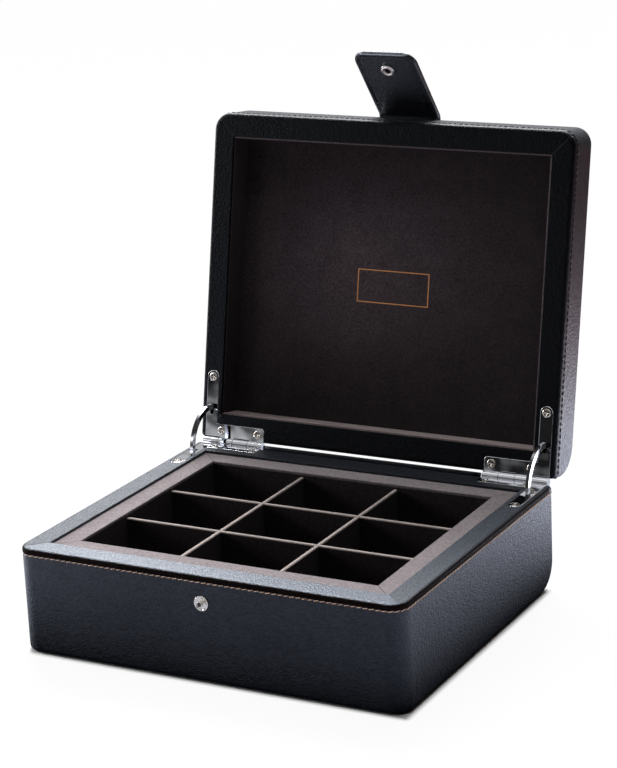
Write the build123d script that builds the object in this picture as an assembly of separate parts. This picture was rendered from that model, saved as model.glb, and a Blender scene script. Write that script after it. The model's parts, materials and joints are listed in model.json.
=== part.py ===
from build123d import *

import os
from math import atan, cos, degrees, radians, sin

# A leather-covered cufflink box: a base with nine compartments, and a lid on two stop hinges,
# which a snap tab holds shut. The box stands open, as it does on a shop counter.
#
# X runs along the front, +Y to the hinges, +Z up. The origin is the middle of the underside.
# Lengths are millimetres and angles are degrees.
#
# The lid is a copy of the base's form about the plane of the hinge pins. Its pieces are drawn
# in the base's place with the rim upwards, then flipped over onto the base, then swung open.

# ---- Overall form ---------------------------------------------------------------------------
box_width = 220.0
box_depth = 186.0
base_height = 57.0
lid_height = 25.5
lid_front_lean = 2.4  # how far the lid's front wall leans out, from its rim to its outer face
parting_gap = 0.4  # between the two rims when the box is shut
lid_open_angle = 101.5  # where the hinges stop the lid
front_corner_radius = 9.5
rear_edge_radius = 16.0  # the long rounded edges at the back, under the base and over the lid
outer_edge_radius = 2.5
rim_edge_radius = 2.0
rim_inner_radius = 0.6

# ---- Leather skin and wooden carcass --------------------------------------------------------
leather_thickness = 1.0
band_height = 4.0  # the base's rim leather turned down over the outer walls, to the stitching
lid_band_height = 5.2
rim_width = 13.0
rear_rim_width = 14.0
lip_depth = 6.0  # the base's rim leather turned down inside
floor_thickness = 6.0
felt_border = 14.0  # leather left showing round the felt underneath

# ---- Compartment tray -----------------------------------------------------------------------
frame_width = 11.5
frame_thickness = 1.5
frame_recess = 1.5  # the suede frame lies this far below the rim
frame_edge_radius = 0.5
tray_lining_thickness = 0.8
tray_floor_thickness = 3.0
columns = 3
rows = 3
divider_thickness = 2.2
divider_recess = 2.7  # the divider tops lie this far below the frame
divider_edge_radius = 0.7
divider_play = 0.1
pad_thickness = 5.0
pad_clearance = 0.4
pad_edge_radius = 1.5

# ---- Lid lining -----------------------------------------------------------------------------
lid_recess_depth = 16.0
lid_panel_thickness = 2.0
lid_wall_lining = 1.8
lining_margin = 1.0  # the carcass wall stops this far short of the rim's inner edge

# ---- Hinges ---------------------------------------------------------------------------------
pin_overhang = 2.0  # how far the pin lies behind the box
pin_radius = 1.0
pin_play = 0.05
barrel_radius = 2.5
barrel_clearance = 0.35
knuckle_count = 4
knuckle_gap = 0.3
leaf_thickness = 1.5
leaf_inset = 3.0  # from the side of the box to the leaf
leaf_width = 7.5
leaf_side_length = 41.0  # from the pin to the leaf's front end
leaf_rear_length = 38.5
leaf_end_radius = 2.0
leaf_edge_radius = 0.3
leaf_play = 0.15
arm_radius = 20.0
arm_width = 3.0
arm_thickness = 1.8
arm_play = 0.3
arm_overrun = 10.0  # how far the arm reaches past each rim when the lid is open
arm_ratio = 0.55  # how far the arms turn for each degree of the lid
slot_run = 3.0  # the slot's spare length, towards the pin
stop_pin_radius = 1.4
stop_pin_length = 3.6

# ---- Screws ---------------------------------------------------------------------------------
screw_head_radius = 2.5
screw_head_depth = 1.2
screw_shank_radius = 1.2
screw_length = 10.0
screw_play = 0.05
screw_offset = 10.8  # from the rear leg's outer end to its first screw
screw_end_distance = 4.2  # from the rear leg's inner end to its second screw
cross_length = 2.8
cross_width = 0.6
cross_depth = 0.6

# ---- Snap and tab ---------------------------------------------------------------------------
stud_below_rim = 14.4
stud_radius = 4.05
stud_flange = 0.8
stud_dish = 0.4
stud_neck_radius = 1.6
stud_head_radius = 1.9
stud_post_length = 2.8
stud_head_length = 1.2
stud_shank_radius = 1.2
stud_shank_length = 8.0
socket_radius = 4.1
socket_height = 1.2
socket_bore_radius = 2.4
socket_barrel_radius = 2.9
spring_wire_radius = 0.18
spring_groove = 0.3
spring_opening = 40.0
tab_width = 37.5
tab_length = 49.6  # from the fold to the tip
tab_tip_radius = 8.0
tab_lining_thickness = 0.9
tab_stiffener_thickness = 0.6
tab_leather_thickness = 1.1
tab_border = 2.5
tab_fold_radius = 3.0
tab_fold_setback = 0.5  # the fold's centre lies this far behind the lid's front
tab_fold_gap = 0.3
tab_rest_angle = 50.0  # the set of the leather tab, from straight on
anchor_length = 45.0

# ---- Places worked out from the sizes above --------------------------------------------------
half_width = box_width / 2
half_depth = box_depth / 2
carcass_top = base_height - leather_thickness
pin_y = half_depth + pin_overhang
pin_z = base_height + parting_gap / 2
lid_bottom = base_height - lid_height  # the lid's outer face before it is flipped
rim_front = -half_depth + rim_width
rim_rear = half_depth - rear_rim_width
rim_side = half_width - rim_width
frame_top = base_height - frame_recess
rail_top = frame_top - frame_thickness
floor_top = leather_thickness + floor_thickness
tray_floor_top = floor_top + tray_floor_thickness
well_side = rim_side - frame_width
well_front = rim_front + frame_width
well_rear = rim_rear - frame_width
divider_top = frame_top - divider_recess
leaf_left = -half_width + leaf_inset
leaf_front = pin_y - leaf_side_length
leaf_rear = pin_y - barrel_radius - barrel_clearance
leaf_middle_x = leaf_left + leaf_width / 2
leaf_middle_y = leaf_rear - leaf_width / 2
leaf_bottom = base_height - leaf_thickness
stud_z = base_height - stud_below_rim
tab_thickness = tab_lining_thickness + tab_stiffener_thickness + tab_leather_thickness
lid_top = 2 * pin_z - lid_bottom
tab_axis_y = -half_depth - lid_front_lean + tab_fold_setback
tab_axis_z = lid_top - tab_fold_radius
tab_tuck = degrees(atan(lid_front_lean / (tab_axis_z - stud_z)))  # past square, to the stud
snap_drop = tab_axis_z - stud_z - tab_fold_radius * sin(radians(tab_tuck))
snap_reach = snap_drop / cos(radians(tab_tuck))
tolerance = 1e-4

middle = Align.CENTER
low = Align.MIN
high = Align.MAX

os.makedirs("parts", exist_ok=True)


def save(node, shape):
    """Write one sub-part, named for its node."""
    export_step(shape, f"parts/{node}.step")
    print(f"{node}: {len(shape.solids())} solid(s), {shape.volume:.1f} mm3")


def block(x_range, y_range, z_range):
    """A box between two planes on each axis."""
    size = [top - bottom for bottom, top in (x_range, y_range, z_range)]
    corner = (x_range[0], y_range[0], z_range[0])
    return Pos(*corner) * Box(*size, align=(low, low, low))


def rod(radius, length, at, direction):
    """A cylinder that starts at a point and runs along a direction."""
    return Plane(origin=at, z_dir=direction) * Cylinder(radius, length, align=(middle, middle, low))


def other_side(shape):
    """The same shape at the other end of the box."""
    return shape.mirror(Plane.YZ)


def flip(shape):
    """Turn a shape drawn at the base's rim over onto the shut lid."""
    return shape.mirror(Plane(origin=(0, 0, pin_z), z_dir=(0, 0, 1)))


def open_up(shape):
    """Swing a piece of the shut lid to where the hinges stop it."""
    return shape.rotate(Axis((0, pin_y, pin_z), (1, 0, 0)), -lid_open_angle)


def bend_tab(shape):
    """Tip the straight tab forwards to its set."""
    return shape.rotate(Axis((0, tab_axis_y, tab_axis_z), (1, 0, 0)), tab_rest_angle)


# ---- The outer form -------------------------------------------------------------------------
def lies_in(edge, axis, place):
    """Whether an edge lies in the plane across an axis at a place."""
    box = edge.bounding_box()
    lowest, highest = getattr(box.min, axis), getattr(box.max, axis)
    return abs(lowest - place) < tolerance and abs(highest - place) < tolerance


def half_form(bottom, inset, lean=0.0):
    """The form of the base or lid, drawn in by an inset, with its rounded edges."""
    side = half_width - inset
    depth = half_depth - inset
    floor = bottom + inset
    top = base_height - inset
    slope = lean / (base_height - bottom)
    front_low = -depth - slope * (base_height - floor)
    front_high = -depth - slope * (base_height - top)
    outline = Polyline((front_low, floor), (depth, floor), (depth, top), (front_high, top), close=True)
    form = extrude(Plane.YZ * make_face(outline), side, both=True)
    rear_edge = form.edges().filter_by(lambda e: lies_in(e, "Y", depth) and lies_in(e, "Z", floor))
    form = fillet(rear_edge, rear_edge_radius - inset)
    uprights = [
        edge
        for edge in form.edges()
        if edge.center().Y < 0
        and edge.bounding_box().size.Z > (top - floor) / 2
        and (lies_in(edge, "X", side) or lies_in(edge, "X", -side))
    ]
    form = fillet(uprights, front_corner_radius - inset)
    seam_y = half_depth - rear_edge_radius
    around = [
        edge
        for edge in form.edges()
        if not lies_in(edge, "Z", top)
        and not lies_in(edge, "Y", seam_y)
        and (
            lies_in(edge, "Z", floor)
            or (edge.center().Y > seam_y and (lies_in(edge, "X", side) or lies_in(edge, "X", -side)))
        )
    ]
    form = fillet(around, outer_edge_radius - inset)
    rim = form.edges().filter_by(lambda e: lies_in(e, "Z", top))
    return fillet(rim, rim_edge_radius - inset)


def opening(bottom, inner_offset=0.0):
    """The mouth inside the rim, widened by an offset, from a level up past the rim."""
    side = rim_side + inner_offset
    across = (rim_front - inner_offset, rim_rear + inner_offset)
    return block((-side, side), across, (bottom, base_height + parting_gap))


def mitre_wedges():
    """The four regions of a frame, split along the lines through its inner and outer corners."""
    inner = [(-rim_side, rim_front), (rim_side, rim_front), (rim_side, rim_rear), (-rim_side, rim_rear)]
    reach_x, front, rear = rim_width * 2, rim_width * 2, rear_rim_width * 2
    outer = [
        (-rim_side - reach_x, rim_front - front),
        (rim_side + reach_x, rim_front - front),
        (rim_side + reach_x, rim_rear + rear),
        (-rim_side - reach_x, rim_rear + rear),
    ]
    wedges = {}
    for index, side in enumerate(("front", "right", "rear", "left")):
        following = (index + 1) % 4
        outline = Polyline(inner[index], inner[following], outer[following], outer[index], close=True)
        wedges[side] = extrude(make_face(outline), base_height + parting_gap)
    return wedges


base_outside = half_form(0, 0)
base_inside = half_form(0, leather_thickness)
lid_outside = half_form(lid_bottom, 0, lid_front_lean)
lid_inside = half_form(lid_bottom, leather_thickness, lid_front_lean)


def band(height):
    """All that lies within a height of the rim."""
    levels = (base_height - height, base_height + parting_gap)
    return block((-box_width, box_width), (-box_depth, box_depth), levels)


def is_mouth_edge(edge):
    """Whether an edge runs round the mouth at the rim's top."""
    place = edge.center()
    beside = abs(abs(place.X) - rim_side) < tolerance and rim_front < place.Y < rim_rear
    across = abs(place.X) < rim_side and min(abs(place.Y - rim_front), abs(place.Y - rim_rear)) < tolerance
    return (beside or across) and lies_in(edge, "Z", base_height)


def rim_strip(rim, wedge):
    """One mitred strip of a rim, with its inner edge rounded."""
    strip = rim & wedge
    return fillet(strip.edges().filter_by(is_mouth_edge), rim_inner_radius)


# ---- Hinge leaves and the room that they need -------------------------------------------------
def leaf_outline(play=0.0):
    """The L of a hinge leaf: a round-ended leg along the side and a leg along the back."""
    side_length = leaf_rear - leaf_front
    leg = Rectangle(leaf_width + 2 * play, side_length + 2 * play)
    leg = Pos(leaf_middle_x, (leaf_front + leaf_rear) / 2) * leg
    leg = fillet(leg.vertices().sort_by(Axis.Y)[:2], leaf_width / 2 + play - tolerance)
    back = Rectangle(leaf_rear_length + 2 * play, leaf_width + 2 * play)
    back = Pos(leaf_left + leaf_rear_length / 2, leaf_middle_y) * back
    back = fillet(back.vertices().sort_by(Axis.X)[-2:], leaf_end_radius + play)
    return leg + back


def leaf_screw_places():
    """The three screw holes in a left leaf."""
    return [
        (leaf_middle_x, leaf_front + leaf_width / 2),
        (leaf_left + screw_offset, leaf_middle_y),
        (leaf_left + leaf_rear_length - screw_end_distance, leaf_middle_y),
    ]


def screw_body(play=0.0):
    """A countersunk screw with its head's top at the origin."""
    head = Cone(
        screw_shank_radius + play,
        screw_head_radius + play,
        screw_head_depth,
        align=(middle, middle, high),
    )
    shank = Cylinder(screw_shank_radius + play, screw_length + play, align=(middle, middle, high))
    return head + shank


def screw():
    """A countersunk screw with a crosshead."""
    cross = Box(cross_length, cross_width, cross_depth, align=(middle, middle, high))
    cross += Box(cross_width, cross_length, cross_depth, align=(middle, middle, high))
    return screw_body() - cross


def at_leaf_screws(shape):
    """Three copies of a shape, at a left leaf's screw holes."""
    return [Pos(x, y, base_height) * shape for x, y in leaf_screw_places()]


def barrel(radius):
    """The whole left barrel as a cylinder along the pin."""
    return rod(radius, leaf_rear_length, (leaf_left, pin_y, pin_z), (1, 0, 0))


def knuckles(owned):
    """The owned knuckles of a left barrel, each joined to its leaf's back edge."""
    pitch = leaf_rear_length / knuckle_count
    web_top = base_height
    pieces = []
    for index in owned:
        start = leaf_left + index * pitch + knuckle_gap / 2
        length = pitch - knuckle_gap
        piece = rod(barrel_radius, length, (start, pin_y, pin_z), (1, 0, 0))
        web = block((start, start + length), (leaf_rear - leaf_thickness, pin_y), (leaf_bottom, web_top))
        pieces += [piece, web]
    return pieces


def leaf(owned):
    """A left hinge leaf at the base's rim, with its owned knuckles."""
    plate = extrude(Pos(0, 0, leaf_bottom) * leaf_outline(), leaf_thickness)
    plate = fillet(plate.edges().filter_by(lambda e: lies_in(e, "Z", base_height)), leaf_edge_radius)
    body = plate.fuse(*knuckles(owned))
    slot_front = pin_y - arm_radius - arm_width / 2 - arm_play
    slot_rear = pin_y - arm_radius + arm_width / 2 + slot_run
    slot_half = arm_thickness / 2 + arm_play
    slot = block(
        (leaf_middle_x - slot_half, leaf_middle_x + slot_half),
        (slot_front, slot_rear),
        (leaf_bottom, base_height),
    )
    slot = fillet(slot.edges().filter_by(Axis.Z), slot_half - tolerance)
    holes = at_leaf_screws(screw_body(screw_play))
    bore = rod(pin_radius + pin_play, leaf_rear_length, (leaf_left, pin_y, pin_z), (1, 0, 0))
    return body.cut(slot, bore, *holes)


def arm_pocket(swing):
    """The room in a side wall for an arm that reaches down to an angle below the rim."""
    end = radians(swing) + (stop_pin_radius + arm_play) / arm_radius
    outer = arm_radius + arm_width / 2 + arm_play
    inner = arm_radius - arm_width / 2 - arm_play
    half = stop_pin_length / 2 + arm_play
    depth = outer * sin(min(end, radians(90)))
    return block(
        (leaf_middle_x - half, leaf_middle_x + half),
        (pin_y - outer, pin_y - inner * cos(end)),
        (pin_z - depth, base_height),
    )


def hinge_room(swing):
    """All that a left hinge takes out of a wall: recess, pocket, screw holes and barrel."""
    recess = extrude(Pos(0, 0, leaf_bottom) * leaf_outline(leaf_play), leaf_thickness + parting_gap)
    recess += block(
        (leaf_left - leaf_play, leaf_left + leaf_rear_length + leaf_play),
        (leaf_middle_y, pin_y),
        (leaf_bottom, base_height + parting_gap),
    )
    relief = rod(
        barrel_radius + barrel_clearance,
        leaf_rear_length + 2 * leaf_play,
        (leaf_left - leaf_play, pin_y, pin_z),
        (1, 0, 0),
    )
    return [recess, arm_pocket(swing), relief, *at_leaf_screws(screw_body(screw_play))]


arm_turn = lid_open_angle * arm_ratio
lid_swing = lid_open_angle + arm_overrun - arm_turn
base_swing = arm_overrun + arm_turn
base_hinge_room = hinge_room(base_swing)
base_hinge_room += [other_side(tool) for tool in base_hinge_room]
lid_hinge_room = hinge_room(lid_swing)
lid_hinge_room += [other_side(tool) for tool in lid_hinge_room]

stud_hole = rod(
    stud_shank_radius + screw_play,
    stud_shank_length + screw_play,
    (0, -half_depth, stud_z),
    (0, 1, 0),
)


# ---- Base: carcass, leather, felt and rim -----------------------------------------------------
lip_room = opening(base_height - lip_depth, leather_thickness)
base_carcass = base_inside.cut(opening(floor_top), lip_room, stud_hole, *base_hinge_room)
save("base_carcass", base_carcass)

felt_x = half_width - felt_border
felt_y = half_depth - felt_border
felt_rear = half_depth - rear_edge_radius - felt_border / 2
felt_room = block((-felt_x, felt_x), (-felt_y, felt_rear), (0, leather_thickness))
base_leather_wrap = base_outside.cut(base_inside, band(band_height), felt_room, stud_hole)
save("base_leather_wrap", base_leather_wrap)
save("underside_felt", felt_room)

wedges = mitre_wedges()
rim_skin = (base_outside - base_inside) & band(band_height)
base_lip = opening(base_height - lip_depth, leather_thickness) & block(
    (-half_width, half_width), (-half_depth, half_depth), (0, carcass_top)
)
base_rim = rim_skin.fuse(base_lip).cut(opening(0), *base_hinge_room)
for side, wedge in wedges.items():
    save(f"base_rim_{side}", rim_strip(base_rim, wedge))


# ---- Base: tray -------------------------------------------------------------------------------
rail_inner_side = well_side + tray_lining_thickness
rail_inner_front = well_front - tray_lining_thickness
rail_inner_rear = well_rear + tray_lining_thickness
rail_z = (floor_top, rail_top)
save(
    "tray_floor",
    block(
        (-rail_inner_side, rail_inner_side),
        (rail_inner_front, rail_inner_rear),
        (floor_top, tray_floor_top),
    ),
)
save("tray_rail_front", block((-rim_side, rim_side), (rim_front, rail_inner_front), rail_z))
save("tray_rail_rear", block((-rim_side, rim_side), (rail_inner_rear, rim_rear), rail_z))
rail_y = (rail_inner_front, rail_inner_rear)
save("tray_rail_left", block((-rim_side, -rail_inner_side), rail_y, rail_z))
save("tray_rail_right", block((rail_inner_side, rim_side), rail_y, rail_z))

lining_z = (tray_floor_top, rail_top)
lining_x = (-rail_inner_side, rail_inner_side)
save("tray_lining_front", block(lining_x, (rail_inner_front, well_front), lining_z))
save("tray_lining_rear", block(lining_x, (well_rear, rail_inner_rear), lining_z))
lining_y = (well_front, well_rear)
save("tray_lining_left", block((-rail_inner_side, -well_side), lining_y, lining_z))
save("tray_lining_right", block((well_side, rail_inner_side), lining_y, lining_z))

frame_corners = [
    (-1, rim_front, well_front),
    (1, rim_front, well_front),
    (1, rim_rear, well_rear),
    (-1, rim_rear, well_rear),
]
for index, side in enumerate(("front", "right", "rear", "left")):
    sign_a, outer_a, inner_a = frame_corners[index]
    sign_b, outer_b, inner_b = frame_corners[(index + 1) % 4]
    outline = Polyline(
        (sign_a * rim_side, outer_a),
        (sign_b * rim_side, outer_b),
        (sign_b * well_side, inner_b),
        (sign_a * well_side, inner_a),
        close=True,
    )
    strip = extrude(Pos(0, 0, rail_top) * make_face(outline), frame_thickness)
    upper = strip.edges().filter_by(lambda e: lies_in(e, "Z", frame_top))
    inner_edge = upper.sort_by(lambda e: e.center().X ** 2 + e.center().Y ** 2)[0]
    save(f"tray_frame_{side}", fillet(inner_edge, frame_edge_radius))


def cell_edges(start, end, count):
    """The two faces of each cell between a start and an end, with dividers between the cells."""
    cell = (end - start - (count - 1) * divider_thickness) / count
    first = [start + index * (cell + divider_thickness) for index in range(count)]
    return [(place, place + cell) for place in first]


column_cells = cell_edges(-well_side, well_side, columns)
row_cells = cell_edges(well_front, well_rear, rows)
half_lap = (tray_floor_top + divider_top) / 2
column_gaps = [(a[1], b[0]) for a, b in zip(column_cells, column_cells[1:])]
row_gaps = [(a[1], b[0]) for a, b in zip(row_cells, row_cells[1:])]


def notch(x_range, y_range, z_range):
    """A half-lap slot with a little play round the divider that it takes."""
    x_span = (x_range[0] - divider_play / 2, x_range[1] + divider_play / 2)
    y_span = (y_range[0] - divider_play / 2, y_range[1] + divider_play / 2)
    return block(x_span, y_span, z_range)


def divider(x_range, y_range):
    """A divider board with its top edges rounded along its length."""
    board = block(x_range, y_range, (tray_floor_top, divider_top))
    along = board.edges().filter_by(lambda e: lies_in(e, "Z", divider_top)).sort_by(lambda e: e.length)
    return fillet(along[-2:], divider_edge_radius)


for name, y_range in zip(("front", "rear"), row_gaps):
    board = divider((-well_side, well_side), y_range)
    for x_range in column_gaps:
        board -= notch(x_range, y_range, (half_lap, divider_top))
    save(f"divider_long_{name}", board)
for name, x_range in zip(("left", "right"), column_gaps):
    board = divider(x_range, (well_front, well_rear))
    for y_range in row_gaps:
        board -= notch(x_range, y_range, (tray_floor_top, half_lap))
    save(f"divider_cross_{name}", board)

pads = []
for x0, x1 in column_cells:
    for y0, y1 in row_cells:
        pad = block(
            (x0 + pad_clearance, x1 - pad_clearance),
            (y0 + pad_clearance, y1 - pad_clearance),
            (tray_floor_top, tray_floor_top + pad_thickness),
        )
        upper = pad.edges().filter_by(lambda e: lies_in(e, "Z", tray_floor_top + pad_thickness))
        pads.append(fillet(upper, pad_edge_radius))
save("compartment_pads", Compound(pads))


# ---- Base: snap stud --------------------------------------------------------------------------
stud_face = Plane(origin=(0, -half_depth, stud_z), z_dir=(0, -1, 0))
stud = Cylinder(stud_radius, stud_flange, align=(middle, middle, low))
stud = fillet(stud.edges().sort_by(Axis.Z)[-1], stud_dish)
dish = Pos(0, 0, stud_flange - stud_dish) * Cylinder(
    stud_radius - 2 * stud_dish, stud_dish, align=(middle, middle, low)
)
neck = Pos(0, 0, stud_flange - stud_dish) * Cylinder(
    stud_neck_radius, stud_dish + stud_post_length, align=(middle, middle, low)
)
head = Pos(0, 0, stud_flange + stud_post_length - stud_head_length) * Cylinder(
    stud_head_radius, stud_head_length, align=(middle, middle, low)
)
head = fillet(head.edges().filter_by(GeomType.CIRCLE), stud_head_length / 2 - tolerance)
shank = Cylinder(stud_shank_radius, stud_shank_length, align=(middle, middle, high))
save("snap_stud", stud_face * ((stud - dish) + neck + head + shank))


# ---- Hinges -----------------------------------------------------------------------------------
lower_leaf = leaf(range(0, knuckle_count, 2))
upper_leaf = open_up(flip(leaf(range(1, knuckle_count, 2))))
hinge_pin = barrel(pin_radius)
lower_screws = at_leaf_screws(screw())
upper_screws = [open_up(flip(piece)) for piece in lower_screws]
save("lower_leaf_left", lower_leaf)
save("lower_leaf_right", other_side(lower_leaf))
save("upper_leaf_left", upper_leaf)
save("upper_leaf_right", other_side(upper_leaf))
save("hinge_pin_left", hinge_pin)
save("hinge_pin_right", other_side(hinge_pin))
save("lower_leaf_screws", Compound(lower_screws + [other_side(piece) for piece in lower_screws]))
save("upper_leaf_screws", Compound(upper_screws + [other_side(piece) for piece in upper_screws]))


def arm_point(angle, radius=arm_radius):
    """A point on the arm, by its angle up from the base's rim."""
    return (pin_y - radius * cos(radians(angle)), pin_z + radius * sin(radians(angle)))


def quadrant_arm():
    """The left arm: a curved strip about the pin, with a stop pin across each end."""
    first, last = -arm_overrun, lid_open_angle + arm_overrun
    ring = Plane.YZ * Circle(arm_radius + arm_width / 2)
    hole = Plane.YZ * Circle(arm_radius - arm_width / 2)
    curve = Pos(0, pin_y, pin_z) * extrude(ring - hole, arm_thickness / 2, both=True)
    far = 2 * arm_radius
    fan = [(pin_y, pin_z)]
    fan += [arm_point(first + (last - first) * share / 4, far) for share in range(5)]
    sector = extrude(Plane.YZ * make_face(Polyline(*fan, close=True)), arm_thickness, both=True)
    arm = curve & sector
    for angle in (first, last):
        y, z = arm_point(angle)
        tip = Pos(0, y, z) * Rot(0, 90, 0)
        arm += tip * Cylinder(arm_width / 2, arm_thickness)
        arm += tip * Cylinder(stop_pin_radius, stop_pin_length)
    return Pos(leaf_middle_x, 0, 0) * arm


left_arm = quadrant_arm()
save("quadrant_arm_left", left_arm)
save("quadrant_arm_right", other_side(left_arm))


# ---- Lid: carcass, leather, rim and lining ----------------------------------------------------
panel_top = base_height - lid_recess_depth
panel_bottom = panel_top - lid_panel_thickness
cavity = opening(panel_bottom, lining_margin)
lid_carcass = lid_inside.cut(cavity, *lid_hinge_room)
save("lid_carcass", open_up(flip(lid_carcass)))
save("lid_leather_wrap", open_up(flip(lid_outside.cut(lid_inside, band(lid_band_height)))))

lid_rim = ((lid_outside - lid_inside) & band(lid_band_height)).cut(opening(0), *lid_hinge_room)
for side, wedge in wedges.items():
    save(f"lid_rim_{side}", open_up(flip(rim_strip(lid_rim, wedge))))

cavity_side = rim_side + lining_margin
cavity_front = rim_front - lining_margin
cavity_rear = rim_rear + lining_margin
panel = block((-cavity_side, cavity_side), (cavity_front, cavity_rear), (panel_bottom, panel_top))
save("lid_lining_panel", open_up(flip(panel)))
lining_z = (panel_top, carcass_top)
wall_side = cavity_side - lid_wall_lining
wall_front = cavity_front + lid_wall_lining
wall_rear = cavity_rear - lid_wall_lining
lid_walls = {
    "front": block((-cavity_side, cavity_side), (cavity_front, wall_front), lining_z),
    "rear": block((-cavity_side, cavity_side), (wall_rear, cavity_rear), lining_z),
    "left": block((-cavity_side, -wall_side), (wall_front, wall_rear), lining_z),
    "right": block((wall_side, cavity_side), (wall_front, wall_rear), lining_z),
}
for side, wall in lid_walls.items():
    save(f"lid_lining_{side}", open_up(flip(wall)))


# ---- Snap tab ---------------------------------------------------------------------------------
def tab_layer(start, length, bottom, thickness, border=0.0):
    """A layer of the straight tab on the shut lid, round-cornered at its tip."""
    outline = Rectangle(tab_width - 2 * border, length)
    tip = tab_axis_y - start - length / 2
    outline = Pos(0, tip) * outline
    outline = fillet(outline.vertices().sort_by(Axis.Y)[:2], tab_tip_radius - border)
    return extrude(Pos(0, 0, bottom) * outline, thickness)


def in_tab(shape):
    """Put a shape drawn on the straight tab where the tab stands."""
    return open_up(bend_tab(shape))


stiffener_bottom = lid_top + tab_lining_thickness
leather_bottom = stiffener_bottom + tab_stiffener_thickness
run = tab_length - tab_fold_gap
inner_run = run - 2 * tab_border
snap_place = (0, tab_axis_y - snap_reach, lid_top)
socket_hole = rod(
    socket_barrel_radius + screw_play,
    tab_lining_thickness + tab_stiffener_thickness,
    snap_place,
    (0, 0, 1),
)
stiffener = tab_layer(
    tab_fold_gap + tab_border, inner_run, stiffener_bottom, tab_stiffener_thickness, tab_border
)
tab_lining = tab_layer(tab_fold_gap, run, lid_top, tab_lining_thickness) - socket_hole
cover_height = tab_stiffener_thickness + tab_leather_thickness
tab_cover = tab_layer(tab_fold_gap, run, stiffener_bottom, cover_height) - stiffener
save("tab_lining", in_tab(tab_lining))
save("tab_stiffener", in_tab(stiffener - socket_hole))
save("tab_leather", in_tab(tab_cover))

socket_depth = socket_height + tab_lining_thickness + tab_stiffener_thickness
socket = rod(socket_radius, socket_height, snap_place, (0, 0, -1))
socket = fillet(socket.edges().filter_by(GeomType.CIRCLE).sort_by(Axis.Z)[0], socket_height / 3)
socket += rod(socket_barrel_radius, socket_depth - socket_height, snap_place, (0, 0, 1))
bore_start = (0, snap_place[1], lid_top - socket_height)
socket -= rod(socket_bore_radius, socket_depth, bore_start, (0, 0, 1))
groove_radius = socket_bore_radius + spring_groove
groove_middle = lid_top - socket_height / 2
groove_height = 2 * (spring_wire_radius + screw_play)
groove_start = (0, snap_place[1], groove_middle - groove_height / 2)
socket -= rod(groove_radius, groove_height, groove_start, (0, 0, 1))
save("snap_socket", in_tab(socket))

spring_radius = groove_radius - spring_wire_radius - screw_play
spring = Torus(spring_radius, spring_wire_radius, major_angle=360 - spring_opening)
save("snap_spring", in_tab(Pos(0, snap_place[1], groove_middle) * spring))

anchor_outline = Pos(0, tab_axis_y + anchor_length / 2) * Rectangle(tab_width, anchor_length)
anchor_outline = fillet(anchor_outline.vertices().sort_by(Axis.Y)[-2:], tab_tip_radius)
save("tab_anchor", open_up(extrude(Pos(0, 0, lid_top) * anchor_outline, tab_thickness)))
fold_core = rod(
    tab_fold_radius - tab_fold_gap,
    tab_width,
    (-tab_width / 2, tab_axis_y, tab_axis_z),
    (1, 0, 0),
)
save("tab_fold_core", open_up(fold_core - flip(lid_outside)))
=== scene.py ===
# %% [markdown]
# # A leather cufflink box, dressed for a product photograph
# The wood, leather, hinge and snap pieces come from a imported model, in metres, as a fixed frame.
# This lesson gives each of them a finish. It then adds what thread, soft leather and suede do at
# a scale that solids don't reach: the stitches, the folded strap, the foil line and the pads.

# %% The frame
import json
import bmesh
import bpy
import numpy as np
from math import cos, pi, radians, sin
from mathutils import Matrix, Vector


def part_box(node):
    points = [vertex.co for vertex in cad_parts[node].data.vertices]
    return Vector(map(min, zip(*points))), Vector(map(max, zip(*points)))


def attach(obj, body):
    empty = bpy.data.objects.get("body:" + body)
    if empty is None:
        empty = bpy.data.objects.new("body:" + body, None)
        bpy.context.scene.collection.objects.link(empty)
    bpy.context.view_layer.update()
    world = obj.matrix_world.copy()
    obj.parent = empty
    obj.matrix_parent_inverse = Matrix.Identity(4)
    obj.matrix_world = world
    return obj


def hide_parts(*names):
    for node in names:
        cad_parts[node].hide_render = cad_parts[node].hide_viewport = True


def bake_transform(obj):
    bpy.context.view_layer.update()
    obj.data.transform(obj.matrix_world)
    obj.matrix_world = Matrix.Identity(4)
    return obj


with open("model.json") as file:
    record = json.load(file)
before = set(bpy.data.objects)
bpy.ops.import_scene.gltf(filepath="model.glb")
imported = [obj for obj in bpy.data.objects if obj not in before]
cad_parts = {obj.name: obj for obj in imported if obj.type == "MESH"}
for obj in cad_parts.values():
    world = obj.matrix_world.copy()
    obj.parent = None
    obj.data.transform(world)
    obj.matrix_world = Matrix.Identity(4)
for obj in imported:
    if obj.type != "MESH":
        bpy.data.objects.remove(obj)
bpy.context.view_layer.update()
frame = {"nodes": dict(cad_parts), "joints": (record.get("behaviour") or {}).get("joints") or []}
nodes = frame["nodes"]
print("pieces in the frame:", len(nodes))


def in_scene(name, data):
    """A new object for a mesh, a lamp or a camera, linked to the scene."""
    made = bpy.data.objects.new(name, data)
    bpy.context.scene.collection.objects.link(made)
    return made


# %% [markdown]
# ## The camera
# The photograph was taken from a little over a metre away with a long lens, from the front right
# and a little above. A camera could be moved by hand until the picture looks right. Here its
# place, lens and slight roll were solved from the box's own edges, so that lines fall on lines.

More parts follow.
